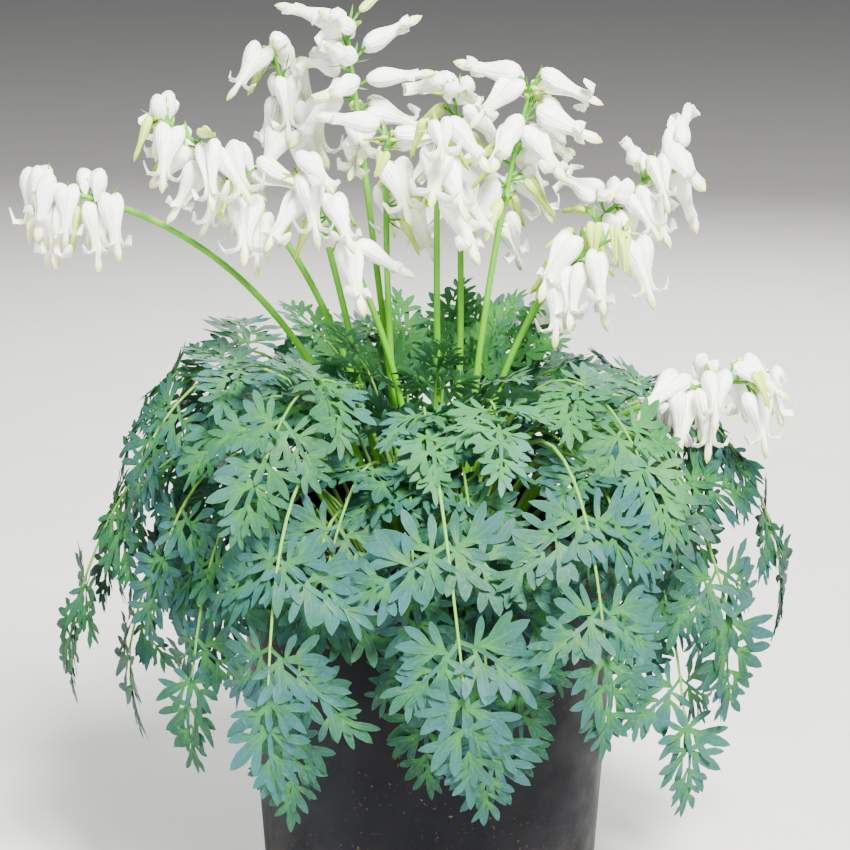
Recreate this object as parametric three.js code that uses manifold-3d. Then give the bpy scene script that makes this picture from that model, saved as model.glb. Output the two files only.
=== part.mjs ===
// A fernleaf bleeding heart in a round nursery pot.
// Millimetres, +Z up. The origin is the centre of the pot's underside, and -Y is the front.
// A pot holds a plug of soil. Flower stems and the petioles of the fronds stand in plain holes in it.
// Each flower stem carries a raceme of heart-shaped blooms on thin pedicels.
import * as THREE from "three";
import { mergeVertices } from "three/addons/utils/BufferGeometryUtils.js";
import Module from "manifold-3d";

const wasm = await Module();
wasm.setup();

// ---- Driving dimensions ---------------------------------------------------------------------

const POT = {
  height: 165,
  topRadius: 81, // outside, just under the rim
  baseRadius: 69,
  wall: 2,
  floor: 3,
  rimReach: 3, // how far the rim stands out
  rimHeight: 13,
  sides: 26,
  drain: { count: 6, radius: 5, ring: 42, sides: 6 },
};
const SOIL = { top: 145, gap: 0.3, holeDepth: 12, holeSlack: 1.9, holeSides: 4 };
const SCAPE = { ring: 13, radius: 1.6, sides: 4, steps: 7, bends: 40 };
const RACEME = { radius: 1.1, sides: 4, steps: 3, bends: 10, gap: 0.3 };
const PEDICEL = { length: 6.5, radius: 0.65, sides: 3, sink: 3 };
const BLOOM = { length: 28, clearHeart: 8, clearHook: 9, heartAt: 7, hookAt: 18,
  crowd: 0.62, leastHang: 0.08, tries: 60 };
const FROND = {
  footHalf: 1.1, // half the petiole's thickness where it stands in the soil
  endHalf: 0.7, // and where the last leaflet begins
  bladeHalf: 0.42,
  tipHalf: 0.34,
  joint: 1.3, // half the length of petiole that a leaflet grows from
  towardsFront: 26, // how far a blade at the plant's side turns its face to the front, in degrees
  clear: 0.35,
  tries: 400,
};

const COLOURS = {
  pot: { color: 0x26282b, roughness: 0.62 },
  soil: { color: 0x3a2c22, roughness: 0.95 },
  scape: { color: 0x86b257, roughness: 0.5 },
  bloom: { color: 0xf6f4ec, roughness: 0.55 },
  frond: { color: 0x74a58f, roughness: 0.6 },
};

// Each frond's path lies in an upright plane through the pot's axis. It is a cubic through its foot on
// the ring, two handles and its tip, each as [distance from the axis, height]. The tips hang lowest at
// the front, and rear is how much higher they are at the sides.
const TIERS = {
  skirt: {
    count: 10, turn: -108, ring: 31, seed: 101, blade: 90, leaflet: 42,
    rise: [70, 212], over: [114, 216], tip: [130, 62], spread: 4, lift: 9, free: 0.3, rear: 20,
  },
  outer: {
    count: 11, turn: -93, ring: 25, seed: 211, blade: 98, leaflet: 45,
    rise: [64, 242], over: [126, 244], tip: [152, 92], spread: 6, lift: 10, free: 0.3, rear: 8,
  },
  upper: {
    count: 9, turn: -80, ring: 19, seed: 311, blade: 90, leaflet: 41,
    rise: [34, 238], over: [94, 272], tip: [128, 166], spread: 10, lift: 10, free: 0.3, rear: 0,
  },
};
// The young fronds at the crown's heart come up in tufts of three from one foot.
const TUFTS = {
  count: 3, perTuft: 3, turn: 40, ring: 17, seed: 421, blade: 52, leaflet: 30,
  rise: [22, 205], over: [36, 256], tip: [70, 250], spread: 26, lift: 8, free: 0.5, rear: 0,
};

// Each flower stem leaves the crown at an angle round the axis and bends in one even arc. It heads for
// over at first and stops at end. Its last stretch is the raceme, of that length. splay is 0 where the
// blooms hang and 1 where they stand straight out.
const STEMS = [
  { foot: 185, over: [-45, -8, 290], end: [-157, -20, 307], raceme: 27, blooms: 7, splay: 0.22, seed: 31 },
  { foot: 208, over: [-30, -20, 288], end: [-109, -33, 338], raceme: 56, blooms: 11, splay: 0.45, seed: 12 },
  { foot: 150, over: [-33, 20, 254], end: [-66, 34, 359], raceme: 40, blooms: 7, splay: 0.35, seed: 13 },
  { foot: 115, over: [-20, 11, 251], end: [-34, 2, 372], raceme: 48, blooms: 9, splay: 0.85, seed: 14 },
  { foot: 264, over: [-6, -24, 253], end: [-53, -60, 320], raceme: 44, blooms: 7, splay: 0.42, seed: 151 },
  { foot: 236, over: [-20, -22, 250], end: [-17, -32, 331], raceme: 36, blooms: 7, splay: 0.55, seed: 16 },
  { foot: 290, over: [2, -24, 262], end: [3, -58, 337], raceme: 31, blooms: 6, splay: 0.5, seed: 17 },
  { foot: 55, over: [17, 14, 245], end: [10, 24, 344], raceme: 46, blooms: 8, splay: 0.55, seed: 18 },
  { foot: 345, over: [16, -10, 250], end: [41, -20, 350], raceme: 57, blooms: 11, splay: 0.52, seed: 19 },
  { foot: 18, over: [24, 6, 272], end: [103, 19, 313], raceme: 66, blooms: 12, splay: 0.55, seed: 20 },
  { foot: 318, over: [28, -22, 280], end: [80, -46, 292], raceme: 46, blooms: 8, splay: 0.32, seed: 21 },
  { foot: 332, ring: 20, over: [60, -26, 232], end: [133, -40, 231], raceme: 40, blooms: 9,
    splay: 0.38, seed: 22 },
];

// ---- Small helpers --------------------------------------------------------------------------

const GOLDEN = 137.508;
const UP = new THREE.Vector3(0, 0, 1);
const rad = THREE.MathUtils.degToRad;
const vec = (p) => new THREE.Vector3(...p);

/** The point at a distance from the axis, an angle round it and a height. */
function around(distance, degrees, height) {
  return vec([distance * Math.cos(rad(degrees)), distance * Math.sin(rad(degrees)), height]);
}

/** A sequence of even draws from 0 to 1 that is the same every time for one seed. */
function draws(seed) {
  let state = (Math.imul(seed, 2654435761) + 12345) >>> 0;
  return () => {
    state = (Math.imul(state, 1664525) + 1013904223) >>> 0;
    return state / 4294967296;
  };
}

/** A draw spread evenly to both sides of 0, up to a limit. */
const either = (next, limit) => (2 * next() - 1) * limit;

/** A closed geometry as a solid that can be joined, cut and tested. */
function solidOf(geometry) {
  const bare = (geometry.index ? geometry.toNonIndexed() : geometry.clone());
  bare.deleteAttribute("normal");
  bare.deleteAttribute("uv");
  const merged = mergeVertices(bare, 1e-4);
  return new wasm.Manifold(new wasm.Mesh({
    numProp: 3,
    vertProperties: merged.attributes.position.array,
    triVerts: new Uint32Array(merged.index.array),
  }));
}

/** A solid's triangles as a geometry. */
function geometryOf(solid) {
  const { vertProperties, triVerts } = solid.getMesh();
  const geometry = new THREE.BufferGeometry();
  geometry.setAttribute("position", new THREE.BufferAttribute(new Float32Array(vertProperties), 3));
  geometry.setIndex(new THREE.BufferAttribute(new Uint32Array(triVerts), 1));
  geometry.computeVertexNormals();
  return geometry;
}

/** Several solids joined into one. */
const joined = (solids) => solids.reduce((whole, solid) => whole.add(solid));

/** A round stem of flat sides along points, closed at both ends. */
function stemSolid(points, radius, sides, steps) {
  const section = new THREE.Shape(Array.from({ length: sides }, (_, k) => {
    const angle = (2 * Math.PI * k) / sides;
    return new THREE.Vector2(radius * Math.cos(angle), radius * Math.sin(angle));
  }));
  const extrudePath = new THREE.CatmullRomCurve3(points, false, "catmullrom", 0.5);
  return solidOf(new THREE.ExtrudeGeometry(section, { extrudePath, steps, bevelEnabled: false }));
}

/** Points measured by the distance along the line through them. */
class Route {
  constructor(points) {
    this.points = points;
    this.at = [0];
    for (let i = 1; i < points.length; i++) {
      this.at.push(this.at[i - 1] + points[i].distanceTo(points[i - 1]));
    }
    this.length = this.at[points.length - 1];
  }

  /** The point and the direction of travel at a distance along. */
  spot(distance) {
    let i = 1;
    while (i < this.points.length - 1 && this.at[i] < distance) i++;
    const [a, b] = [this.points[i - 1], this.points[i]];
    const share = (distance - this.at[i - 1]) / (this.at[i] - this.at[i - 1]);
    return { point: a.clone().lerp(b, share), along: b.clone().sub(a).normalize() };
  }

  /** The route from one distance to another, in even steps. */
  stretch(from, to, steps) {
    return new Route(Array.from({ length: steps + 1 }, (_, k) =>
      this.spot(from + ((to - from) * k) / steps).point));
  }
}

/** Where a stem stands in the soil, and the way it leaves it. */
function footOf(route, radius) {
  const point = route.spot(0).point;
  const along = route.spot(1.2 * SOIL.holeDepth).point.sub(point).normalize();
  return { point, along, radius };
}

// ---- Pot and soil ---------------------------------------------------------------------------

/** The pot's outside radius under the rim at a height. */
const potRadius = (z) => POT.baseRadius + (POT.topRadius - POT.baseRadius) * (z / POT.height);

/** A profile of [distance from the axis, height] spun round +Z. */
function spun(profile, sides) {
  const points = profile.map(([r, z]) => new THREE.Vector2(r, z));
  return solidOf(new THREE.LatheGeometry(points, sides).rotateX(Math.PI / 2));
}

/** A tapering pot with a rolled rim and drain holes through its floor. */
function potSolid() {
  const { height, wall, floor, rimReach, rimHeight, sides, drain } = POT;
  const rimFoot = height - rimHeight;
  const inside = (z) => potRadius(z) - wall;
  const shell = spun([
    [0, 0],
    [potRadius(0) - 1.5, 0],
    [potRadius(0), 1.5],
    [potRadius(rimFoot), rimFoot],
    [potRadius(height) + rimReach, rimFoot + 1.5],
    [potRadius(height) + rimReach, height],
    [inside(height), height],
    [inside(floor), floor],
    [0, floor],
  ], sides);
  const drains = Array.from({ length: drain.count }, (_, k) => {
    const hole = new THREE.CylinderGeometry(drain.radius, drain.radius, 4 * floor, drain.sides);
    hole.rotateX(Math.PI / 2);
    return solidOf(hole.translate(...around(drain.ring, (360 * k) / drain.count, floor / 2)));
  });
  return shell.subtract(joined(drains));
}

/** A plug of soil that fills the pot, with a hole for each foot. */
function soilSolid(feet) {
  const { top, gap, holeDepth, holeSlack, holeSides } = SOIL;
  const low = POT.floor + gap;
  const inside = (z) => potRadius(z) - POT.wall - gap;
  const plug = spun([[0, low], [inside(low), low], [inside(top), top], [0, top + 2]], POT.sides);
  const holes = feet.map(({ point, along, radius }) => {
    const length = 2.4 * holeDepth;
    const hole = new THREE.CylinderGeometry(radius + holeSlack, radius + holeSlack, length, holeSides);
    hole.translate(0, length / 2 - gap, 0);
    hole.applyQuaternion(new THREE.Quaternion().setFromUnitVectors(new THREE.Vector3(0, 1, 0), along));
    return solidOf(hole.translate(...point));
  });
  return plug.subtract(joined(holes));
}

// ---- Fronds ---------------------------------------------------------------------------------

/**
 * A net of triangles in space, thickened into one closed solid.
 * Each point has a normal and half a thickness. Both faces are split alike.
 */
class Net {
  points = [];
  faces = [];

  add(point, normal, half) {
    this.points.push({ point, normal, half });
    return this.points.length - 1;
  }

  solid() {
    const count = this.points.length;
    const positions = [1, -1].flatMap((side) => this.points.flatMap(({ point, normal, half }) =>
      point.clone().addScaledVector(normal, side * half).toArray()));
    const edges = new Set(this.faces.flatMap(([a, b, c]) => [[a, b], [b, c], [c, a]].map(String)));
    const triangles = [];
    for (const [a, b, c] of this.faces) {
      triangles.push([a, b, c], [a + count, c + count, b + count]);
      for (const [from, to] of [[a, b], [b, c], [c, a]]) {
        if (edges.has(String([to, from]))) continue;
        triangles.push([to, from, from + count], [to, from + count, to + count]);
      }
    }
    const geometry = new THREE.BufferGeometry();
    geometry.setAttribute("position", new THREE.Float32BufferAttribute(positions, 3));
    geometry.setIndex(triangles.flat());
    return solidOf(geometry);
  }
}

// A leaflet's body and lobes, as shares of its length: where the lobes meet the body and its half width
// there, then each pair's reach and its lean from the rib in degrees.
const LOBES = { feet: [0.14, 0.47, 0.73], half: [0.05, 0.15, 0.1], reach: [0.56, 0.42], lean: [52, 40] };
const SIMPLE_LOBES = { feet: [0.16, 0.6], half: [0.05, 0.14], reach: [0.58], lean: [46] };

/**
 * One leaflet, cut to its rib into pointed lobes.
 * It grows from the net's edge between the points left and right, along frame.along.
 */
function growLeaflet(net, left, right, frame, length, plan, droop, fold) {
  const { origin, along, across, normal } = frame;
  const place = (a, b, half) => {
    const lift = fold * Math.abs(b) - (droop * a * a) / length;
    const point = origin.clone().addScaledVector(along, a).addScaledVector(across, b);
    return net.add(point.addScaledVector(normal, lift), normal, half);
  };
  let [l, r] = [left, right];
  plan.feet.forEach((foot, k) => {
    const a = foot * length;
    const half = plan.half[k] * length;
    const [nextL, nextR] = [1, -1].map((side) => place(a, side * half, FROND.bladeHalf));
    net.faces.push([r, nextR, nextL], [r, nextL, l]);
    if (k > 0) {
      const reach = plan.reach[k - 1] * length;
      const lean = rad(plan.lean[k - 1]);
      const middle = ((plan.feet[k - 1] + foot) / 2) * length;
      const width = ((plan.half[k - 1] + plan.half[k]) / 2) * length;
      const [a1, b1] = [middle + reach * Math.cos(lean), width + 0.9 * reach * Math.sin(lean)];
      net.faces.push([l, nextL, place(a1, b1, FROND.tipHalf)], [nextR, r, place(a1, -b1, FROND.tipHalf)]);
    }
    [l, r] = [nextL, nextR];
  });
  net.faces.push([r, place(length, 0, FROND.tipHalf), l]);
}

/** How one frond of a tier lies: every try gives other draws, and later tries a smaller frond. */
function frondDraw(tier, index, attempt) {
  const next = draws(tier.seed + 37 * index + 1009 * attempt);
  const step = 360 / tier.count;
  const angle = tier.turn + step * index + either(next, tier.free * step);
  return {
    angle,
    spread: either(next, tier.spread),
    lift: either(next, tier.lift),
    sway: either(next, 9),
    roll: FROND.towardsFront * Math.cos(rad(angle)) + either(next, 14),
    scale: 1 + either(next, 0.08) - (0.35 * attempt) / FROND.tries,
    next,
  };
}

/** The points of a frond's path, from its foot in the soil to the tip of its last leaflet. */
function frondRoute(tier, lie) {
  const { spread, lift } = lie;
  const tipHeight = tier.tip[1] + 1.5 * lift + tier.rear * (1 + Math.sin(rad(lie.angle)));
  const controls = [
    [tier.ring, SOIL.top - SOIL.holeDepth],
    [tier.rise[0], tier.rise[1] + lift / 2],
    [tier.over[0] + spread, tier.over[1] + lift],
    [tier.tip[0] + spread, tipHeight],
  ];
  const steps = 40;
  return new Route(Array.from({ length: steps + 1 }, (_, k) => {
    const t = k / steps;
    const weights = [(1 - t) ** 3, 3 * t * (1 - t) ** 2, 3 * t * t * (1 - t), t ** 3];
    const [distance, height] = [0, 1].map((i) =>
      weights.reduce((sum, weight, j) => sum + weight * controls[j][i], 0));
    const angle = THREE.MathUtils.lerp(lie.footAngle ?? lie.angle, lie.angle, Math.min(1, 3 * t));
    return around(distance, angle + lie.sway * t * t, height);
  }));
}

/** The axes of a frond at a distance along its route, rolled about it more and more towards the tip. */
function frondFrame(route, distance, lie) {
  const { point, along } = route.spot(distance);
  const across = UP.clone().cross(vec([Math.cos(rad(lie.angle)), Math.sin(rad(lie.angle)), 0])).normalize();
  across.addScaledVector(along, -across.dot(along)).normalize();
  const roll = rad(lie.roll) * (distance / route.length);
  across.applyAxisAngle(along, roll);
  return { origin: point, along, across, normal: along.clone().cross(across) };
}

/** A frame turned in the leaf's own plane by one angle, then tipped down by another. */
function turned(frame, degrees, tip) {
  const { origin, normal } = frame;
  const along = frame.along.clone().applyAxisAngle(normal, rad(degrees));
  const across = frame.across.clone().applyAxisAngle(normal, rad(degrees));
  along.applyAxisAngle(across, rad(tip));
  return { origin, along, across, normal: along.clone().cross(across) };
}

/** Where leaflets grow: a share of the blade back from its tip, their angle, length and lobes. */
const PAIRS = [
  { at: 1, angle: 62, size: 1, plan: LOBES },
  { at: 0.64, angle: 54, size: 0.84, plan: SIMPLE_LOBES },
];
const YOUNG_PAIRS = [{ at: 0.78, angle: 56, size: 0.85, plan: SIMPLE_LOBES }];

/** One frond: a petiole that thins towards the tip, pairs of leaflets and a last leaflet. */
function frondSolid(tier, lie, pairs, bareSteps) {
  const route = frondRoute(tier, lie);
  const blade = tier.blade * lie.scale;
  const leaflet = tier.leaflet * lie.scale;
  const end = route.length - 1.02 * leaflet;
  const net = new Net();
  const stations = Array.from({ length: bareSteps }, (_, k) => ((route.length - blade) * k) / bareSteps);
  for (const { at } of pairs) {
    const middle = route.length - at * blade;
    stations.push(middle - FROND.joint, middle + FROND.joint);
  }
  stations.push(end);
  const rows = stations.map((distance) => {
    const frame = frondFrame(route, distance, lie);
    const half = FROND.footHalf + (FROND.endHalf - FROND.footHalf) * (distance / end);
    const [left, right] = [1, -1].map((side) =>
      net.add(frame.origin.clone().addScaledVector(frame.across, side * half), frame.normal, half));
    return { left, right, frame };
  });
  for (let k = 1; k < rows.length; k++) {
    const [a, b] = [rows[k - 1], rows[k]];
    net.faces.push([a.right, b.right, b.left], [a.right, b.left, a.left]);
  }
  pairs.forEach(({ angle, size, plan }, k) => {
    const [near, far] = [rows[bareSteps + 2 * k], rows[bareSteps + 2 * k + 1]];
    for (const side of [1, -1]) {
      const frame = turned(near.frame, side * (angle + either(lie.next, 7)), 6 + either(lie.next, 12));
      const [left, right] = side > 0 ? [near.left, far.left] : [far.right, near.right];
      frame.origin = near.frame.origin.clone().lerp(far.frame.origin, 0.5);
      growLeaflet(net, left, right, frame, leaflet * size, plan, 0.22, 0.16);
    }
  });
  const last = rows[rows.length - 1];
  const frame = turned(last.frame, either(lie.next, 6), 4 + either(lie.next, 8));
  growLeaflet(net, last.left, last.right, frame, 1.02 * leaflet, LOBES, 0.2, 0.14);
  return { solid: net.solid(), foot: footOf(route, FROND.footHalf * Math.SQRT2) };
}

/** Whether a solid keeps clear of all the others. */
const isClear = (solid, others) => others.every((other) => solid.minGap(other, FROND.clear) >= FROND.clear);

/** The first lie of a frond or tuft, of all its tries, that keeps clear of what stands already. */
function bentClear(make, standing) {
  for (let attempt = 0; attempt < FROND.tries; attempt++) {
    const made = make(attempt);
    if (isClear(made.solid, standing)) return { ...made, attempt };
  }
  throw new Error("no try keeps clear");
}

const frond = (tier, index, attempt) => frondSolid(tier, frondDraw(tier, index, attempt), PAIRS, 4);

/** A tuft of young fronds that share one foot. */
function tuft(index, attempt) {
  const footAngle = frondDraw(TUFTS, index, attempt * TUFTS.perTuft).angle;
  const fronds = Array.from({ length: TUFTS.perTuft }, (_, k) => {
    const lie = frondDraw(TUFTS, index, attempt * TUFTS.perTuft + k);
    lie.footAngle = footAngle;
    lie.angle = footAngle + (k - 1) * 26 + either(lie.next, 8);
    return frondSolid(TUFTS, lie, YOUNG_PAIRS, 3);
  });
  const foot = { ...fronds[1].foot, radius: 2.6 * fronds[1].foot.radius };
  return { solid: joined(fronds.map(({ solid }) => solid)), foot };
}

// ---- Flower stems and racemes ---------------------------------------------------------------

/** A flower stem's two stretches: from its foot in the soil to the raceme, and the raceme itself. */
function stemRoute(stem) {
  const foot = around(stem.ring ?? SCAPE.ring, stem.foot, SOIL.top - SOIL.holeDepth);
  const arc = new THREE.QuadraticBezierCurve3(foot, vec(stem.over), vec(stem.end));
  const whole = new Route(arc.getPoints(SCAPE.bends));
  const cut = whole.length - stem.raceme;
  return {
    scape: whole.stretch(0, cut, SCAPE.bends),
    raceme: whole.stretch(cut, whole.length, RACEME.bends),
  };
}

/** One draw of how a bloom hangs: where its pedicel leaves, where it begins, and its own axes. */
function bloomDraw(stem, route, index, next) {
  const share = 0.1 + (0.9 * (index + 0.5)) / stem.blooms;
  const { point, along } = route.spot(share * route.length);
  const side = UP.clone().cross(along).normalize();
  const angle = rad(GOLDEN * index + either(next, 70));
  const out = side.clone().multiplyScalar(Math.cos(angle));
  out.addScaledVector(along.clone().cross(side), Math.sin(angle)).addScaledVector(along, 1.3 * share - 0.5);
  out.normalize();
  const reach = PEDICEL.length * (1 + either(next, 0.3));
  const start = point.clone().addScaledVector(out, reach).addScaledVector(UP, 2);
  const splay = stem.splay * (1 + either(next, 0.35));
  const axis = out.clone().multiplyScalar(splay);
  axis.addScaledVector(UP, -Math.max(BLOOM.leastHang, 1.05 - splay)).normalize();
  const face = out.clone().addScaledVector(UP, 0.15).addScaledVector(axis, -out.dot(axis));
  face.addScaledVector(axis, -face.dot(axis)).normalize().applyAxisAngle(axis, rad(either(next, 50)));
  const open = next() < 0.2 ? 0 : 1;
  const size = open ? 1 + either(next, 0.1) : 0.72 + either(next, 0.1);
  return { from: point, start, axis, face, open, size };
}

/** The two balls that a bloom keeps to itself: round its heart and round its turned-back petals. */
function bloomBalls({ start, axis, size }) {
  return [[BLOOM.heartAt, BLOOM.clearHeart], [BLOOM.hookAt, BLOOM.clearHook]].map(([at, radius]) =>
    ({ centre: start.clone().addScaledVector(axis, at * size), radius: radius * size }));
}

/** Balls along a stem, so that blooms keep off it. */
function stemBalls(route, owner) {
  const spacing = 4;
  return Array.from({ length: Math.floor(route.length / spacing) }, (_, k) =>
    ({ centre: route.spot(k * spacing).point, radius: SCAPE.radius + 0.6, owner }));
}

/** The least room between a bloom's balls and all the others, less where they share a raceme. */
function room(balls, others, owner) {
  let least = Infinity;
  for (const ball of balls) {
    for (const other of others) {
      const needed = (ball.radius + other.radius) * (other.owner === owner ? BLOOM.crowd : 1);
      least = Math.min(least, ball.centre.distanceTo(other.centre) - needed);
    }
  }
  return least;
}

/** Every raceme's blooms, drawn in turn so that each keeps off the stems and the blooms before it. */
function allBlooms(routes) {
  const taken = routes.flatMap(({ scape, raceme }, owner) =>
    [scape, raceme].flatMap((route) => stemBalls(route, owner)));
  return STEMS.map((stem, owner) => {
    const next = draws(stem.seed);
    return Array.from({ length: stem.blooms }, (_, index) => {
      let best = null;
      for (let attempt = 0; attempt < BLOOM.tries && !(best && best.space > 0); attempt++) {
        const bloom = bloomDraw(stem, routes[owner].raceme, index, next);
        const space = room(bloomBalls(bloom), taken, owner);
        if (!best || space > best.space) best = { ...bloom, space };
      }
      taken.push(...bloomBalls(best).map((ball) => ({ ...ball, owner })));
      return best;
    });
  });
}

// The half outline of a bloom from its notch to its tip, as shares of its length across and along it,
// and its raised points, with their height. hookShut is where a bud keeps the tip of its outer petal.
const HEART = {
  notch: [0, 0.05],
  crown: [0.14, -0.03],
  brow: [0.25, 0.12],
  waist: [0.085, 0.55],
  hook: [0.34, 0.58],
  hookShut: [0.1, 0.68],
  hookFoot: [0.13, 0.76],
  tip: [0, 1],
  belly: [0, 0.24, 0.14],
  throat: [0, 0.64, 0.075],
};
// The triangles of half of one face, by name. The other half and the back are their mirrors.
const HALF_FACE = [
  ["notch", "crown", "belly"], ["crown", "brow", "belly"], ["brow", "waist", "belly"],
  ["waist", "throat", "belly"], ["waist", "hook", "throat"], ["hook", "hookFoot", "throat"],
  ["hookFoot", "tip", "throat"],
];

/** A flattened heart with two pouches, turned-back petal tips and a pointed mouth, or a bud of it. */
function bloomSolid({ start, axis, face, open, size }) {
  const length = BLOOM.length * size;
  const wide = axis.clone().cross(face);
  const width = open ? 1 : 0.66;
  const place = (name, side, front) => {
    const [u, v, height = 0] = HEART[name === "hook" && !open ? "hookShut" : name];
    return start.clone()
      .addScaledVector(wide, side * u * width * length)
      .addScaledVector(axis, v * length)
      .addScaledVector(face, front * height * length);
  };
  const positions = [];
  for (const side of [1, -1]) {
    for (const front of [1, -1]) {
      for (const names of HALF_FACE) {
        const corners = names.map((name) => place(name, side, front));
        if (side * front < 0) corners.reverse();
        corners.forEach((corner) => positions.push(...corner));
      }
    }
  }
  const geometry = new THREE.BufferGeometry();
  geometry.setAttribute("position", new THREE.Float32BufferAttribute(positions, 3));
  return solidOf(geometry);
}

/** The stem below the blooms, cut short of them by a small gap. */
function scapeSolid({ scape }) {
  const stop = scape.length - RACEME.gap;
  const points = Array.from({ length: SCAPE.steps + 1 }, (_, k) =>
    scape.spot((stop * k) / SCAPE.steps).point);
  return stemSolid(points, SCAPE.radius, SCAPE.sides, SCAPE.steps);
}

/** The stem's flowering end with its pedicels and blooms, all joined. */
function racemeSolid({ raceme }, blooms) {
  const points = Array.from({ length: RACEME.steps + 1 }, (_, k) =>
    raceme.spot((raceme.length * k) / RACEME.steps).point);
  const axis = stemSolid(points, RACEME.radius, RACEME.sides, RACEME.steps);
  const parts = blooms.flatMap((bloom) => {
    const end = bloom.start.clone().addScaledVector(bloom.axis, PEDICEL.sink + 1);
    return [bloomSolid(bloom), stemSolid([bloom.from, end], PEDICEL.radius, PEDICEL.sides, 1)];
  });
  return joined([axis, ...parts]);
}

// ---- The plant ------------------------------------------------------------------------------

const plant = new THREE.Group();

function place(name, solid, look) {
  const mesh = new THREE.Mesh(geometryOf(solid), new THREE.MeshStandardMaterial({ metalness: 0, ...look }));
  mesh.name = name;
  plant.add(mesh);
}

const numbered = (name, index) => `${name}_${String(index + 1).padStart(2, "0")}`;

const pot = potSolid();
const standing = [pot];
const feet = [];
place("pot", pot, COLOURS.pot);

const routes = STEMS.map(stemRoute);
const blooms = allBlooms(routes);
routes.forEach((route, k) => {
  const scape = scapeSolid(route);
  const raceme = racemeSolid(route, blooms[k]);
  place(numbered("flower_stem", k), scape, COLOURS.scape);
  place(numbered("raceme", k), raceme, COLOURS.bloom);
  standing.push(scape, raceme);
  feet.push(footOf(route.scape, SCAPE.radius));
});

function growFrond(name, make) {
  const { solid, foot } = bentClear(make, standing);
  place(name, solid, COLOURS.frond);
  standing.push(solid);
  feet.push(foot);
}

for (let k = 0; k < TUFTS.count; k++) growFrond(numbered("tuft", k), (attempt) => tuft(k, attempt));
for (const [name, tier] of Object.entries(TIERS)) {
  for (let k = 0; k < tier.count; k++) {
    growFrond(numbered(`${name}_frond`, k), (attempt) => frond(tier, k, attempt));
  }
}
place("soil", soilSolid(feet), COLOURS.soil);

export default plant;
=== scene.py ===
"""A fernleaf bleeding heart in a round nursery pot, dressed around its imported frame."""

import logging
import math
from dataclasses import dataclass, field, replace
from enum import Enum

import bpy
import numpy as np
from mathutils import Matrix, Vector


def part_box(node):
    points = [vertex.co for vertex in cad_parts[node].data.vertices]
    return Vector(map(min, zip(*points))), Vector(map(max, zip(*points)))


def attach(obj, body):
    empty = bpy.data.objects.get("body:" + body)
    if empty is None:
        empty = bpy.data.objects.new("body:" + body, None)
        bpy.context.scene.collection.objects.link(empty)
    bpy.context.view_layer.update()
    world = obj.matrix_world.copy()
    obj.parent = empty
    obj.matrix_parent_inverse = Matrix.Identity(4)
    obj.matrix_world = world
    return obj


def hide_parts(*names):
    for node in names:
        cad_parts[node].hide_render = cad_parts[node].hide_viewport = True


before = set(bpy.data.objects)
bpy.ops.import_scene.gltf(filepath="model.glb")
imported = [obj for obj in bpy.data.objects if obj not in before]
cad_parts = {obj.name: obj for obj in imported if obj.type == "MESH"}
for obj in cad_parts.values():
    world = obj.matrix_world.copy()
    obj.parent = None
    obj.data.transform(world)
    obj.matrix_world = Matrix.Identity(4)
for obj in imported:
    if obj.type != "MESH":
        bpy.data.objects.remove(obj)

LOG = logging.getLogger("bleeding_heart")
MM = 0.001  # the growth rule is in millimetres, Blender in metres
GOLDEN = 137.508  # degrees between one pedicel and the next
UP = np.array([0.0, 0.0, 1.0])
Array = np.ndarray
Rng = np.random.Generator
Piece = bpy.types.Object
Pieces = list[Piece]
Material = bpy.types.Material
Socket = bpy.types.NodeSocket
Node = bpy.types.Node
Tree = bpy.types.NodeTree
Polar = tuple[float, float]  # a distance from the pot's axis and a height
Span = tuple[float, float]  # the least and the most of an even draw
Triple = tuple[float, float, float]
Rgba = tuple[float, float, float, float]
Tones = tuple[Rgba, Rgba]  # a darker and a lighter colour
SHARP = 62.0  # an edge that turns by more degrees than this stays crisp


# ---- Vectors, draws and routes ----


def unit(vector: Array) -> Array:
    """The vector, or each row of it, divided by its length."""
    return vector / np.linalg.norm(vector, axis=-1, keepdims=True)


def rotated(vector: Array, axis: Array, degrees: float) -> Array:
    """A vector turned about an axis, by Rodrigues' formula.

    Args:
        vector: what is turned.
        axis: a unit vector.
        degrees: the turn, right-handed about the axis.

    Returns:
        The turned vector.
    """
    angle = math.radians(degrees)
    across = np.cross(axis, vector)
    return (
        vector * math.cos(angle)
        + across * math.sin(angle)
        + axis * np.dot(axis, vector) * (1 - math.cos(angle))
    )


def around(distance: float, degrees: float, height: float) -> Array:
    """The point at a distance from the pot's axis, an angle round it and a height."""
    angle = math.radians(degrees)
    return np.array([distance * math.cos(angle), distance * math.sin(angle), height])


class Draws:
    """A repeatable sequence of even draws, the same one that the solids were grown from.

    It is a linear congruential one: each state is the last one times a factor plus a step.
    """

    STATES = 2**32
    SEED_FACTOR, SEED_STEP = 2654435761, 12345
    FACTOR, STEP = 1664525, 1013904223

    def __init__(self, seed: int) -> None:
        """Start the sequence of one seed."""
        self._state = (seed * self.SEED_FACTOR + self.SEED_STEP) % self.STATES

    def next(self) -> float:
        """The next draw, from 0 to 1."""
        self._state = (self._state * self.FACTOR + self.STEP) % self.STATES
        return self._state / self.STATES

    def either(self, limit: float) -> float:
        """The next draw, spread evenly to both sides of 0."""
        return (2 * self.next() - 1) * limit


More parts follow.
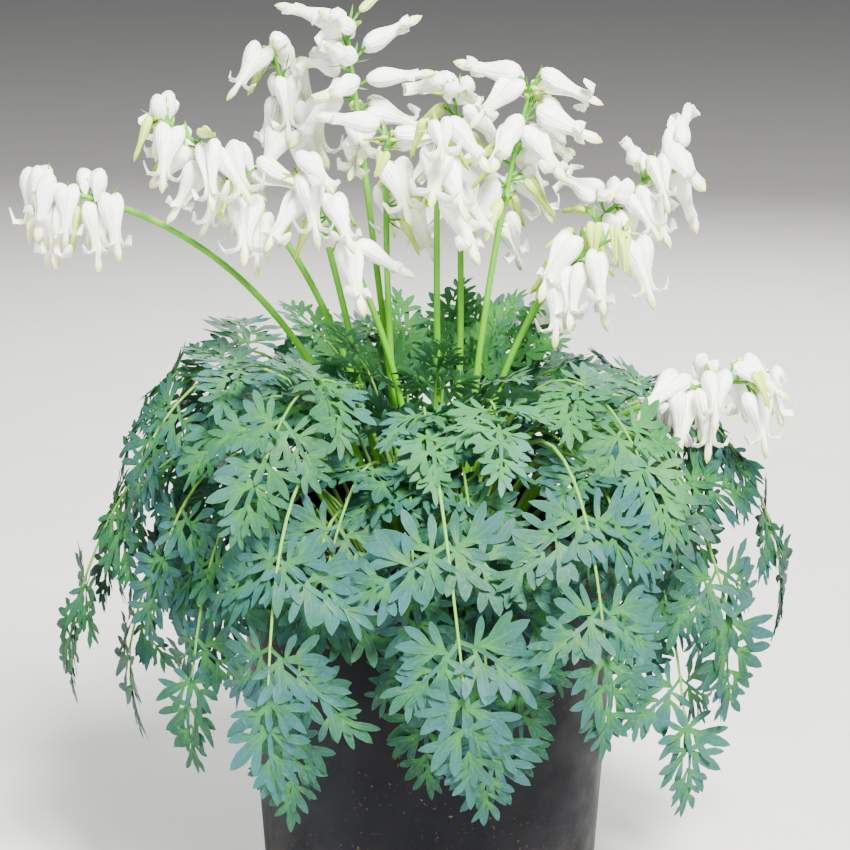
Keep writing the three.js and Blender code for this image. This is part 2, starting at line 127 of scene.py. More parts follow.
class Route:
    """Points measured by the distance along the line through them."""

    def __init__(self, points: Array) -> None:
        """Measure the line through points.

        Args:
            points: one row each, in the order of travel.
        """
        self.points = np.asarray(points, float)
        steps = np.linalg.norm(np.diff(self.points, axis=0), axis=1)
        self.at = np.concatenate([[0.0], np.cumsum(steps)])
        self.length = float(self.at[-1])

    def spot(self, distance: float) -> tuple[Array, Array]:
        """Where the line is at a distance along it.

        Args:
            distance: from the first point.

        Returns:
            The point there and the unit direction of travel.
        """
        i = int(np.clip(np.searchsorted(self.at, distance), 1, len(self.at) - 1))
        start, end = self.points[i - 1], self.points[i]
        share = (distance - self.at[i - 1]) / (self.at[i] - self.at[i - 1])
        return start + (end - start) * share, unit(end - start)

    def sample(self, count: int, start: float = 0.0, end: float | None = None) -> Array:
        """Evenly spaced points along a stretch, by linear interpolation of each coordinate."""
        where = np.linspace(start, self.length if end is None else end, count)
        return np.stack([np.interp(where, self.at, self.points[:, k]) for k in range(3)], axis=1)


# ---- The growth rule, shared with the solids ----


@dataclass(frozen=True)
class SoilLevel:
    """Where the soil stands in the pot, in millimetres."""

    top: float = 145.0
    hole_depth: float = 12.0
    gap: float = 0.3


@dataclass(frozen=True)
class LeafletPlan:
    """A plain leaflet's body and lobes, as shares of its length and degrees from its rib."""

    feet: tuple[float, ...]
    half: tuple[float, ...]
    reach: tuple[float, ...]
    lean: tuple[float, ...]


LOBES = LeafletPlan((0.14, 0.47, 0.73), (0.05, 0.15, 0.1), (0.56, 0.42), (52, 40))
SIMPLE_LOBES = LeafletPlan((0.16, 0.6), (0.05, 0.14), (0.58,), (46,))


@dataclass(frozen=True)
class Pair:
    """Two leaflets that face each other, a share of the blade back from its tip."""

    at: float
    angle: float
    size: float
    plan: LeafletPlan


PAIRS = (Pair(1, 62, 1, LOBES), Pair(0.64, 54, 0.84, SIMPLE_LOBES))
YOUNG_PAIRS = (Pair(0.78, 56, 0.85, SIMPLE_LOBES),)


@dataclass(frozen=True)
class Tier:
    """A ring of fronds that share one path, in millimetres and degrees.

    Their feet stand evenly on the ring, from the turn on, give or take a free share of the step. Their
    paths head for rise, come from over and end at tip, give or take the spread and the lift, and the
    tips behind are higher, by up to twice the rear. Blade and leaflet are lengths. Young is how fresh
    a green the fronds have, from 0 to 1.
    """

    name: str
    count: int
    turn: float
    ring: float
    seed: int
    blade: float
    leaflet: float
    rise: Polar
    over: Polar
    tip: Polar
    spread: float
    lift: float
    young: float
    free: float = 0.3
    rear: float = 0.0
    pairs: tuple[Pair, ...] = PAIRS
    bare_steps: int = 4
    some_broad: bool = False


TIERS = (
    Tier(
        "skirt", count=10, turn=-108, ring=31, seed=101, blade=90, leaflet=42, rise=(70, 212),
        over=(114, 216), tip=(130, 62), spread=4, lift=9, young=0.05, rear=20, some_broad=True,
    ),
    Tier(
        "outer", count=11, turn=-93, ring=25, seed=211, blade=98, leaflet=45, rise=(64, 242),
        over=(126, 244), tip=(152, 92), spread=6, lift=10, young=0.1, rear=8,
    ),
    Tier(
        "upper", count=9, turn=-80, ring=19, seed=311, blade=90, leaflet=41, rise=(34, 238),
        over=(94, 272), tip=(128, 166), spread=10, lift=10, young=0.3,
    ),
)
TUFTS = Tier(
    "tuft", count=3, turn=40, ring=17, seed=421, blade=52, leaflet=30, rise=(22, 205),
    over=(36, 256), tip=(70, 250), spread=26, lift=8, young=0.75, free=0.5, pairs=YOUNG_PAIRS,
    bare_steps=3,
)
FRONDS_PER_TUFT = 3
TUFT_FAN = 26.0  # degrees between a tuft's fronds
TUFT_SWING = 8.0

FOOT_HALF = 1.1  # half the plain petiole's thickness at its foot, and at its end
END_HALF = 0.7
BLADE_HALF = 0.42  # half the plain leaflet's thickness in its body, and at its tips
TIP_HALF = 0.34
LOBE_SIDEWAYS = 0.9  # the share of its sideways reach that a plain lobe keeps
PATH_BENDS = 40
FOOT_TURN = 3  # a frond turns from its foot's angle to its own over the first third of its path
JOINT = 1.3  # how far the petiole reaches to both sides of the middle of a pair
END_SIZE = 1.02  # the end leaflet's length, as a share of its tier's
TOWARDS_FRONT = 26.0  # degrees that a frond at the side rolls, so that its face shows from the front
SWAY = 9.0
ROLL = 14.0
SCALE_SPREAD = 0.08
SHRINK = 0.35  # how much smaller a frond is at the last try
TRIES = 400
FROND_SEED_STEP = 37
TRY_SEED_STEP = 1009
BOX_MATCH = 0.05  # a try whose box comes this near the node's, in millimetres, is the node's own


@dataclass(frozen=True)
class Hang:
    """How leaflets leave their petiole, in degrees, and how they bend, as shares."""

    turn: float
    tip: float
    tip_swing: float
    droop: float
    fold: float


SIDE_HANG = Hang(7, 6, 12, 0.22, 0.16)
END_HANG = Hang(6, 4, 8, 0.2, 0.14)


@dataclass
class Lie:
    """How one frond lies: its angle round the pot, and how it differs from its tier's path.

    A tuft's fronds share the angle of their foot.
    """

    angle: float
    spread: float
    lift: float
    sway: float
    roll: float
    scale: float
    draws: Draws
    foot_angle: float | None = None


@dataclass(frozen=True)
class Axes:
    """A place on the plant with its three directions."""

    origin: Array
    along: Array
    across: Array
    normal: Array

    def turned(self, degrees: float, tip: float) -> "Axes":
        """These axes turned in the leaf's own plane, then tipped.

        Args:
            degrees: the turn about the normal.
            tip: the turn about the new axis across, which lets the leaf hang.

        Returns:
            The new axes at the same place.
        """
        along = rotated(self.along, self.normal, degrees)
        across = rotated(self.across, self.normal, degrees)
        along = rotated(along, across, tip)
        return Axes(self.origin, along, across, np.cross(along, across))


@dataclass(frozen=True)
class Seat:
    """Where one leaflet grows, how long it is and how it bends."""

    axes: Axes
    length: float
    plan: LeafletPlan
    droop: float
    fold: float

    def place(self, flat: Array) -> Array:
        """Points of the leaflet's plane in space.

        A point (a, b, h) goes a along the rib, b across it and h off the surface. The surface falls by
        droop times a squared over the length, and rises by fold times the distance from the rib.

        Args:
            flat: the points, one row each, in millimetres.

        Returns:
            The points in space.
        """
        a, b, h = flat.T
        lift = h + self.fold * np.abs(b) - self.droop * a * a / self.length
        axes = self.axes
        flat = np.outer(a, axes.along) + np.outer(b, axes.across)
        return axes.origin + flat + np.outer(lift, axes.normal)

    def solid_corners(self) -> Array:
        """The corners of the plain solid leaflet.

        Returns:
            The points of both faces, one row each.
        """
        rows = []
        plan, length = self.plan, self.length
        for k, (foot, half) in enumerate(zip(plan.feet, plan.half)):
            rows += [(foot * length, side * half * length, BLADE_HALF) for side in (1, -1)]
            if k > 0:
                lean = math.radians(plan.lean[k - 1])
                reach = plan.reach[k - 1] * length
                a = 0.5 * (plan.feet[k - 1] + foot) * length + reach * math.cos(lean)
                b = 0.5 * (plan.half[k - 1] + half) * length + LOBE_SIDEWAYS * reach * math.sin(lean)
                rows += [(a, side * b, TIP_HALF) for side in (1, -1)]
        rows.append((length, 0, TIP_HALF))
        flat = np.array(rows, float)
        middle = self.place(flat * [1, 1, 0])
        step = np.outer(flat[:, 2], self.axes.normal)
        return np.vstack([middle + step, middle - step])


@dataclass
class Frond:
    """One frond laid out in space by the growth rule."""

    tier: Tier
    lie: Lie
    route: Route = field(init=False)
    end: float = field(init=False)
    seats: list[Seat] = field(init=False)
    corners: Array = field(init=False)

    def __post_init__(self) -> None:
        """Work out the path, the leaflets' places and the plain solid's corners."""
        tier, lie = self.tier, self.lie
        self.route = self._path()
        length = self.route.length
        blade, leaflet = tier.blade * lie.scale, tier.leaflet * lie.scale
        self.end = length - END_SIZE * leaflet
        stations = [(length - blade) * k / tier.bare_steps for k in range(tier.bare_steps)]
        for pair in tier.pairs:
            middle = length - pair.at * blade
            stations += [middle - JOINT, middle + JOINT]
        stations.append(self.end)
        rows = [self.axes_at(distance) for distance in stations]
        corners = []
        for distance, axes in zip(stations, rows):
            half = FOOT_HALF + (END_HALF - FOOT_HALF) * distance / self.end
            for side, face in ((1, 1), (1, -1), (-1, 1), (-1, -1)):
                corners.append(axes.origin + half * (side * axes.across + face * axes.normal))
        self.seats = []
        for k, pair in enumerate(tier.pairs):
            near, far = rows[tier.bare_steps + 2 * k], rows[tier.bare_steps + 2 * k + 1]
            origin = 0.5 * (near.origin + far.origin)
            for side in (1, -1):
                hang = SIDE_HANG
                turn = side * (pair.angle + lie.draws.either(hang.turn))
                axes = near.turned(turn, hang.tip + lie.draws.either(hang.tip_swing))
                axes = Axes(origin, axes.along, axes.across, axes.normal)
                seat = Seat(axes, leaflet * pair.size, pair.plan, hang.droop, hang.fold)
                self.seats.append(seat)
        hang = END_HANG
        turn = lie.draws.either(hang.turn)
        last = rows[-1].turned(turn, hang.tip + lie.draws.either(hang.tip_swing))
        self.seats.append(Seat(last, END_SIZE * leaflet, LOBES, hang.droop, hang.fold))
        self.corners = np.vstack([np.array(corners), *[seat.solid_corners() for seat in self.seats]])

    def _path(self) -> Route:
        """The cubic of the foot, two handles and the tip, in an upright plane that sways a little.

        Returns:
            The frond's path from its foot in the soil to its tip.
        """
        tier, lie = self.tier, self.lie
        soil = SoilLevel()
        rear = tier.rear * (1 + math.sin(math.radians(lie.angle)))
        controls = np.array([
            (tier.ring, soil.top - soil.hole_depth),
            (tier.rise[0], tier.rise[1] + lie.lift / 2),
            (tier.over[0] + lie.spread, tier.over[1] + lie.lift),
            (tier.tip[0] + lie.spread, tier.tip[1] + 1.5 * lie.lift + rear),
        ])
        t = np.linspace(0, 1, PATH_BENDS + 1)[:, None]
        weights = np.hstack([(1 - t) ** 3, 3 * t * (1 - t) ** 2, 3 * t * t * (1 - t), t**3])
        distance, height = (weights @ controls).T
        foot = lie.angle if lie.foot_angle is None else lie.foot_angle
        t = t[:, 0]
        turned = np.minimum(1, FOOT_TURN * t)
        angle = np.radians(foot + (lie.angle - foot) * turned + lie.sway * t * t)
        return Route(np.stack([distance * np.cos(angle), distance * np.sin(angle), height], axis=1))

    def axes_at(self, distance: float) -> Axes:
        """The frond's axes at a distance along it, rolled more and more towards the tip.

        Args:
            distance: from the foot.

        Returns:
            The place there, the way along, the way across and the normal of the blade.
        """
        point, along = self.route.spot(distance)
        angle = math.radians(self.lie.angle)
        across = np.array([-math.sin(angle), math.cos(angle), 0.0])
        across = unit(across - along * np.dot(across, along))
        across = rotated(across, along, self.lie.roll * distance / self.route.length)
        return Axes(point, along, across, np.cross(along, across))


def draw_lie(tier: Tier, index: int, attempt: int) -> Lie:
    """How one frond of a tier lies at one try.

    Args:
        tier: the ring of fronds.
        index: which frond of the ring.
        attempt: which try, each with its own draws and a little smaller.

    Returns:
        The lie, with its sequence of draws still running.
    """
    draws = Draws(tier.seed + FROND_SEED_STEP * index + TRY_SEED_STEP * attempt)
    step = 360 / tier.count
    angle = tier.turn + step * index + draws.either(tier.free * step)
    return Lie(
        angle=angle,
        spread=draws.either(tier.spread),
        lift=draws.either(tier.lift),
        sway=draws.either(SWAY),
        roll=TOWARDS_FRONT * math.cos(math.radians(angle)) + draws.either(ROLL),
        scale=1 + draws.either(SCALE_SPREAD) - SHRINK * attempt / TRIES,
        draws=draws,
    )


def draw_fronds(tier: Tier, index: int, attempt: int) -> list[Frond]:
    """The fronds of one node at one try: one of a tier, or the three of a tuft that share a foot.

    Args:
        tier: the ring of fronds.
        index: which node of the ring.
        attempt: which try.

    Returns:
        The fronds laid out in space.
    """
    if tier is not TUFTS:
        return [Frond(tier, draw_lie(tier, index, attempt))]
    foot = draw_lie(tier, index, attempt * FRONDS_PER_TUFT).angle
    fronds = []
    for k in range(FRONDS_PER_TUFT):
        lie = draw_lie(tier, index, attempt * FRONDS_PER_TUFT + k)
        lie.foot_angle = foot
        lie.angle = foot + (k - 1) * TUFT_FAN + lie.draws.either(TUFT_SWING)
        fronds.append(Frond(tier, lie))
    return fronds


def fronds_of(node: str, tier: Tier, index: int) -> list[Frond]:
    """The fronds that a node's solid was grown from: those of the try whose box is the node's.

    Args:
        node: the node's name.
        tier: its ring of fronds.
        index: which node of the ring.

    Returns:
        The fronds laid out in space.
    """
    low, high = (np.array(corner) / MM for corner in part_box(node))
    best, least, found = [], math.inf, 0
    for attempt in range(TRIES):
        fronds = draw_fronds(tier, index, attempt)
        corners = np.vstack([frond.corners for frond in fronds])
        miss = max(np.abs(corners.min(0) - low).max(), np.abs(corners.max(0) - high).max())
        if miss < least:
            best, least, found = fronds, miss, attempt
        if least < BOX_MATCH:
            break
    LOG.info("%s lies as try %d, %.3f mm off its box", node, found, least)
    return best


# ---- Flower stems and the places of blooms ----


@dataclass(frozen=True)
class Stem:
    """One flower stem in millimetres.

    It bends in one even arc from its foot, heads for over at first and stops at end. Its last stretch,
    of the raceme's length, bears the blooms, which hang at splay 0 and stand straight out at 1.
    """

    foot: float
    over: Triple
    end: Triple
    raceme: float
    blooms: int
    splay: float
    seed: int
    ring: float = 13.0


STEMS = (
    Stem(185, (-45, -8, 290), (-157, -20, 307), 27, 7, 0.22, 31),
    Stem(208, (-30, -20, 288), (-109, -33, 338), 56, 11, 0.45, 12),
    Stem(150, (-33, 20, 254), (-66, 34, 359), 40, 7, 0.35, 13),
    Stem(115, (-20, 11, 251), (-34, 2, 372), 48, 9, 0.85, 14),
    Stem(264, (-6, -24, 253), (-53, -60, 320), 44, 7, 0.42, 151),
    Stem(236, (-20, -22, 250), (-17, -32, 331), 36, 7, 0.55, 16),
    Stem(290, (2, -24, 262), (3, -58, 337), 31, 6, 0.5, 17),
    Stem(55, (17, 14, 245), (10, 24, 344), 46, 8, 0.55, 18),
    Stem(345, (16, -10, 250), (41, -20, 350), 57, 11, 0.52, 19),
    Stem(18, (24, 6, 272), (103, 19, 313), 66, 12, 0.55, 20),
    Stem(318, (28, -22, 280), (80, -46, 292), 46, 8, 0.32, 21),
    Stem(332, (60, -26, 232), (133, -40, 231), 40, 9, 0.38, 22, ring=20),
)
SCAPE_BENDS = 40
RACEME_BENDS = 10
SCAPE_RADIUS = 1.6
RACEME_RADIUS = 1.1
BLOOM_LENGTH = 28.0
HEART_AT, HEART_CLEAR = 7.0, 8.0  # a bloom's room: balls along its axis, each with its radius
HOOK_AT, HOOK_CLEAR = 18.0, 9.0
CROWD = 0.62  # the share of their room that blooms of one raceme keep from each other
BLOOM_TRIES = 60
BALL_SPACING = 4.0  # between the balls that stand for a stem
BALL_SLACK = 0.6


@dataclass(frozen=True)
class Habit:
    """How blooms hang from a raceme, in millimetres, degrees and shares.

    The lowest pedicels point back along the raceme by the sag, and the upper ones forward by what the
    climb adds. A bloom starts a little above its pedicel's end, by the rise.
    """

    bare: float = 0.1
    swing: float = 70.0
    climb: float = 1.3
    sag: float = 0.5
    pedicel: float = 6.5
    pedicel_spread: float = 0.3
    rise: float = 2.0
    splay_spread: float = 0.35
    weight: float = 1.05
    least_weight: float = 0.08
    face_up: float = 0.15
    face_swing: float = 50.0
    bud_share: float = 0.2
    bud_size: float = 0.72
    size_spread: float = 0.1


HABIT = Habit()


@dataclass(frozen=True)
class Bloom:
    """Where one bloom hangs: its pedicel's foot, its own start and axes, its state and size."""

    foot: Array
    out: Array
    start: Array
    axis: Array
    face: Array
    is_open: bool
    size: float

    def balls(self) -> tuple[Array, Array]:
        """The centres and radii of the room that the bloom keeps to itself."""
        at = np.array([[HEART_AT], [HOOK_AT]]) * self.size
        return self.start + at * self.axis, np.array([HEART_CLEAR, HOOK_CLEAR]) * self.size


@dataclass(frozen=True)
class StemRoutes:
    """A flower stem's two stretches."""

    scape: Route
    raceme: Route


def stem_routes(stem: Stem) -> StemRoutes:
    """The quadratic curve from a stem's foot towards its over point and on to its end.

    Args:
        stem: the flower stem.

    Returns:
        The curve cut in two where the raceme starts.
    """
    soil = SoilLevel()
    foot = around(stem.ring, stem.foot, soil.top - soil.hole_depth)
    t = np.linspace(0, 1, SCAPE_BENDS + 1)[:, None]
    over, end = np.array(stem.over, float), np.array(stem.end, float)
    whole = Route((1 - t) ** 2 * foot + 2 * t * (1 - t) * over + t * t * end)
    cut = whole.length - stem.raceme
    scape, raceme = whole.sample(SCAPE_BENDS + 1, 0, cut), whole.sample(RACEME_BENDS + 1, cut)
    return StemRoutes(Route(scape), Route(raceme))


def draw_bloom(stem: Stem, raceme: Route, index: int, draws: Draws) -> Bloom:
    """One draw of how a bloom hangs from its raceme.

    The pedicels leave by golden angles. A bloom's axis lies between straight out and straight down by
    the stem's splay, and its flat face turns outwards.

    Args:
        stem: the flower stem.
        raceme: the stretch that bears the blooms.
        index: which bloom, from the lowest.
        draws: the sequence of draws.

    Returns:
        The bloom's place.
    """
    share = HABIT.bare + (1 - HABIT.bare) * (index + 0.5) / stem.blooms
    point, along = raceme.spot(share * raceme.length)
    side = unit(np.cross(UP, along))
    angle = math.radians(GOLDEN * index + draws.either(HABIT.swing))
    out = side * math.cos(angle) + np.cross(along, side) * math.sin(angle)
    out = unit(out + along * (HABIT.climb * share - HABIT.sag))
    reach = HABIT.pedicel * (1 + draws.either(HABIT.pedicel_spread))
    start = point + out * reach + HABIT.rise * UP
    splay = stem.splay * (1 + draws.either(HABIT.splay_spread))
    axis = unit(out * splay - UP * max(HABIT.least_weight, HABIT.weight - splay))
    face = out + HABIT.face_up * UP - axis * np.dot(out, axis)
    face = unit(face - axis * np.dot(face, axis))
    face = rotated(face, axis, draws.either(HABIT.face_swing))
    is_open = draws.next() >= HABIT.bud_share
    size = (1 if is_open else HABIT.bud_size) + draws.either(HABIT.size_spread)
    return Bloom(point, out, start, axis, face, is_open, size)


class BloomRoom:
    """The room that stems and blooms have taken, as balls with the stem that each belongs to."""

    def __init__(self, routes: list[StemRoutes]) -> None:
        """Take the room of every stem.

        Args:
            routes: both stretches of each stem.
        """
        self.centres: list[Array] = []
        self.radii: list[float] = []
        self.owners: list[int] = []
        for owner, route in enumerate(routes):
            for stretch in (route.scape, route.raceme):
                count = int(stretch.length // BALL_SPACING)
                places = [stretch.spot(k * BALL_SPACING)[0] for k in range(count)]
                self._take(places, [SCAPE_RADIUS + BALL_SLACK] * len(places), owner)

    def _take(self, centres: list[Array], radii: list[float], owner: int) -> None:
        """Take the room of some balls.

        Args:
            centres: their centres.
            radii: their radii.
            owner: the number of the stem that they belong to.
        """
        self.centres += list(centres)
        self.radii += list(radii)
        self.owners += [owner] * len(centres)

    def _space(self, bloom: Bloom, owner: int, crowd: float) -> float:
        """The least gap between a bloom's balls and all the others, less where they share a raceme.

        Args:
            bloom: the bloom.
            owner: the number of its stem.
            crowd: the share of their room that blooms of one raceme keep from each other.

        Returns:
            The gap, below 0 where they meet.
        """
        centres, radii = bloom.balls()
        gaps = np.linalg.norm(centres[:, None] - np.array(self.centres)[None], axis=2)
        needed = radii[:, None] + np.array(self.radii)[None]
        share = np.where(np.array(self.owners) == owner, crowd, 1.0)
        return float((gaps - needed * share[None]).min())

    def hang(self, owner: int, raceme: Route, blooms: int, seed: int, crowd: float) -> list[Bloom]:
        """Blooms drawn in turn, each kept off what is there already.

        Args:
            owner: the number of the stem.
            raceme: the stretch that they hang from.
            blooms: how many.
            seed: the seed of their draws.
            crowd: how near blooms of one raceme come, as a share of their room.

        Returns:
            The blooms.
        """
        draws = Draws(seed)
        stem = replace(STEMS[owner], blooms=blooms)
        hung = []
        for index in range(blooms):
            best, best_space = None, -math.inf
            for _ in range(BLOOM_TRIES):
                bloom = draw_bloom(stem, raceme, index, draws)
                space = self._space(bloom, owner, crowd)
                if space > best_space:
                    best, best_space = bloom, space
                if best_space > 0:
                    break
            centres, radii = best.balls()
            self._take(list(centres), list(radii), owner)
            hung.append(best)
        return hung


# ---- Gathering surfaces into pieces ----


def ring_faces(rings: int, sides: int, outward: bool = True) -> list[Array]:
    """The quads between rings of points and the two end caps, as vertex numbers.

    Args:
        rings: how many rings, one after another.
        sides: points in each ring.
        outward: whether the rings turn right-handed about the way the rings go.

    Returns:
        An array of quads and two arrays that hold one cap each.
    """
    i, j = np.meshgrid(np.arange(rings - 1), np.arange(sides), indexing="ij")
    a, b = i * sides + j, i * sides + (j + 1) % sides
    quads = np.stack([a, b, b + sides, a + sides], axis=-1).reshape(-1, 4)
    first = np.arange(sides)[None, ::-1]
    last = (rings - 1) * sides + np.arange(sides)[None]
    groups = [quads, first, last]
    return groups if outward else [group[:, ::-1] for group in groups]


@dataclass(frozen=True)
class Surface:
    """Points, faces and growth values of one shape.

    The four growth values run from 0 to 1: the vein or crown, the way along, the tone and the kind.
    """

    points: Array
    faces: list[Array]
    growth: Array

    def moved(self, points: Array, tone: float | None = None) -> "Surface":
        """The same surface elsewhere.

        Args:
            points: its new points, in the same order.
            tone: its new tone, where it gets one.

        Returns:
            The new surface, which owns its growth values if it got a tone.
        """
        growth = self.growth
        if tone is not None:
            growth = growth.copy()
            growth[:, 2] = tone
        return Surface(points, self.faces, growth)


def joined(surfaces: list[Surface]) -> Surface:
    """Several surfaces as one.

    Args:
        surfaces: the surfaces.

    Returns:
        One surface whose faces are grouped by their number of corners.
    """
    start, faces = 0, []
    for surface in surfaces:
        faces += [group + start for group in surface.faces]
        start += len(surface.points)
    points = np.vstack([surface.points for surface in surfaces])
    growth = np.vstack([surface.growth for surface in surfaces])
    widths = sorted({group.shape[1] for group in faces})
    merged = [np.vstack([group for group in faces if group.shape[1] == width]) for width in widths]
    return Surface(points, merged, growth)


def make_piece(name: str, surface: Surface, material: Material) -> Piece:
    """A smooth-shaded object from a surface in millimetres, with its growth values as an attribute.

    Args:
        name: the piece's name.
        surface: its shape.
        material: its finish.

    Returns:
        The piece, at the origin.
    """
    mesh = bpy.data.meshes.new(name)
    loops = np.concatenate([group.reshape(-1) for group in surface.faces]).astype(np.int32)
    totals = np.concatenate([np.full(len(group), group.shape[1]) for group in surface.faces])
    starts = np.concatenate([[0], np.cumsum(totals)[:-1]]).astype(np.int32)
    mesh.vertices.add(len(surface.points))
    mesh.vertices.foreach_set("co", (surface.points * MM).astype(np.float32).ravel())
    mesh.loops.add(len(loops))
    mesh.loops.foreach_set("vertex_index", loops)
    mesh.polygons.add(len(totals))
    mesh.polygons.foreach_set("loop_start", starts)
    mesh.polygons.foreach_set("use_smooth", np.ones(len(totals), bool))
    mesh.update(calc_edges=True)
    mesh.validate()
    mesh.set_sharp_from_angle(angle=math.radians(SHARP))
    colours = mesh.attributes.new("growth", "FLOAT_COLOR", "POINT")
    colours.data.foreach_set("color", surface.growth.astype(np.float32).ravel())
    mesh.materials.append(material)
    piece = bpy.data.objects.new(name, mesh)
    bpy.context.scene.collection.objects.link(piece)
    return piece


def tube(points: Array, radii: Array, sides: int, kind: float, tone: float = 0.5) -> Surface:
    """A round stalk along points.

    At each point a circle of the given radius stands square to the path. Its first direction is the
    same hint made square to the path, so that the tube doesn't twist.

    Args:
        points: the path, one row each.
        radii: the radius at each point.
        sides: flat sides of the tube.
        kind: the growth value that tells stalks from blades.
        tone: the growth value of light and dark.

    Returns:
        A closed surface.
    """
    along = unit(np.gradient(points, axis=0))
    hint = np.array([0.31, 0.93, 0.19])
    first = unit(np.cross(along, hint))
    second = np.cross(along, first)
    angle = 2 * np.pi * np.arange(sides) / sides
    wave, swell = np.cos(angle)[None, :, None], np.sin(angle)[None, :, None]
    circle = first[:, None] * wave + second[:, None] * swell
    rings = points[:, None] + circle * radii[:, None, None]
    growth = np.zeros((len(points), sides, 4))
    growth[..., 1] = np.linspace(0, 1, len(points))[:, None]
    growth[..., 2] = tone
    growth[..., 3] = kind
    return Surface(rings.reshape(-1, 3), ring_faces(len(points), sides), growth.reshape(-1, 4))


# ---- Leaflets ----


@dataclass(frozen=True)
class Lobe:
    """One lobe in the leaflet's plane, as shares of the leaflet's length, and how it tips out of it."""

    root: Array
    tip: Array
    width: float
    base: float = 0.3
    lift: float = 0.0
    roll: float = 0.0


@dataclass(frozen=True)
class Fan:
    """A wedge of lobes that leave one short rib, as shares and degrees.

    The fan's length and each lobe's reach and breadth are drawn about their own. All its lobes tip out
    of the plane by one drawn lift, and roll more the further they stand from the heading.
    """

    root: float
    heading: float
    length: float
    angles: tuple[float, ...]
    starts: tuple[float, ...]
    shares: tuple[float, ...]
    widths: tuple[float, ...]
    swing: float = 6.0
    lobe_swing: float = 5.0
    lengths: Span = (0.9, 1.08)
    reaches: Span = (0.88, 1.08)
    breadths: Span = (0.9, 1.12)
    lifts: Span = (-0.16, 0.12)
    rolls: Span = (-0.18, 0.18)

    def lobes(self, side: int, rng: Rng) -> list[Lobe]:
        """The fan's lobes on one side of the rib, each a little different.

        A lobe's root lies along the fan's heading, at its share of the fan's length. Its tip is its
        root plus its length turned by the heading and its own angle.

        Args:
            side: 1 or -1.
            rng: the draws.

        Returns:
            The lobes.
        """
        heading = side * (self.heading + rng.uniform(-self.swing, self.swing))
        rib = np.array([math.cos(math.radians(heading)), math.sin(math.radians(heading))])
        length = self.length * rng.uniform(*self.lengths)
        lift, roll = rng.uniform(*self.lifts), rng.uniform(*self.rolls)
        lobes = []
        for angle, start, share, width in zip(self.angles, self.starts, self.shares, self.widths):
            turn = angle + rng.uniform(-self.lobe_swing, self.lobe_swing)
            way = math.radians(heading + side * turn)
            reach = length * share * rng.uniform(*self.reaches)
            root = length * start * rib + [self.root, 0.0]
            tip = root + reach * np.array([math.cos(way), math.sin(way)])
            broad = length * width * rng.uniform(*self.breadths)
            lobes.append(Lobe(root, tip, broad, lift=lift, roll=roll * math.sin(math.radians(angle))))
        return lobes


# A fan's lobes: their angles, and their starts, reaches and widths as shares of its length.
FIVE = (
    (0, 31, -33, 56, -60), (0, 0.26, 0.2, 0.06, 0.03), (1, 0.66, 0.7, 0.58, 0.56),
    (0.22, 0.165, 0.165, 0.145, 0.145),
)
FOUR = ((0, 32, -34, 58), (0, 0.24, 0.2, 0.05), (1, 0.7, 0.7, 0.58), (0.24, 0.185, 0.185, 0.155))
THREE = ((0, 34, -36), (0, 0.22, 0.2), (1, 0.68, 0.7), (0.26, 0.21, 0.21))


class LeafletKind(Enum):
    """The cut of a leaflet: three pairs of fans, two broad pairs or two small ones, and an end fan."""

    FINE = "fine"
    BROAD = "broad"
    SIMPLE = "simple"


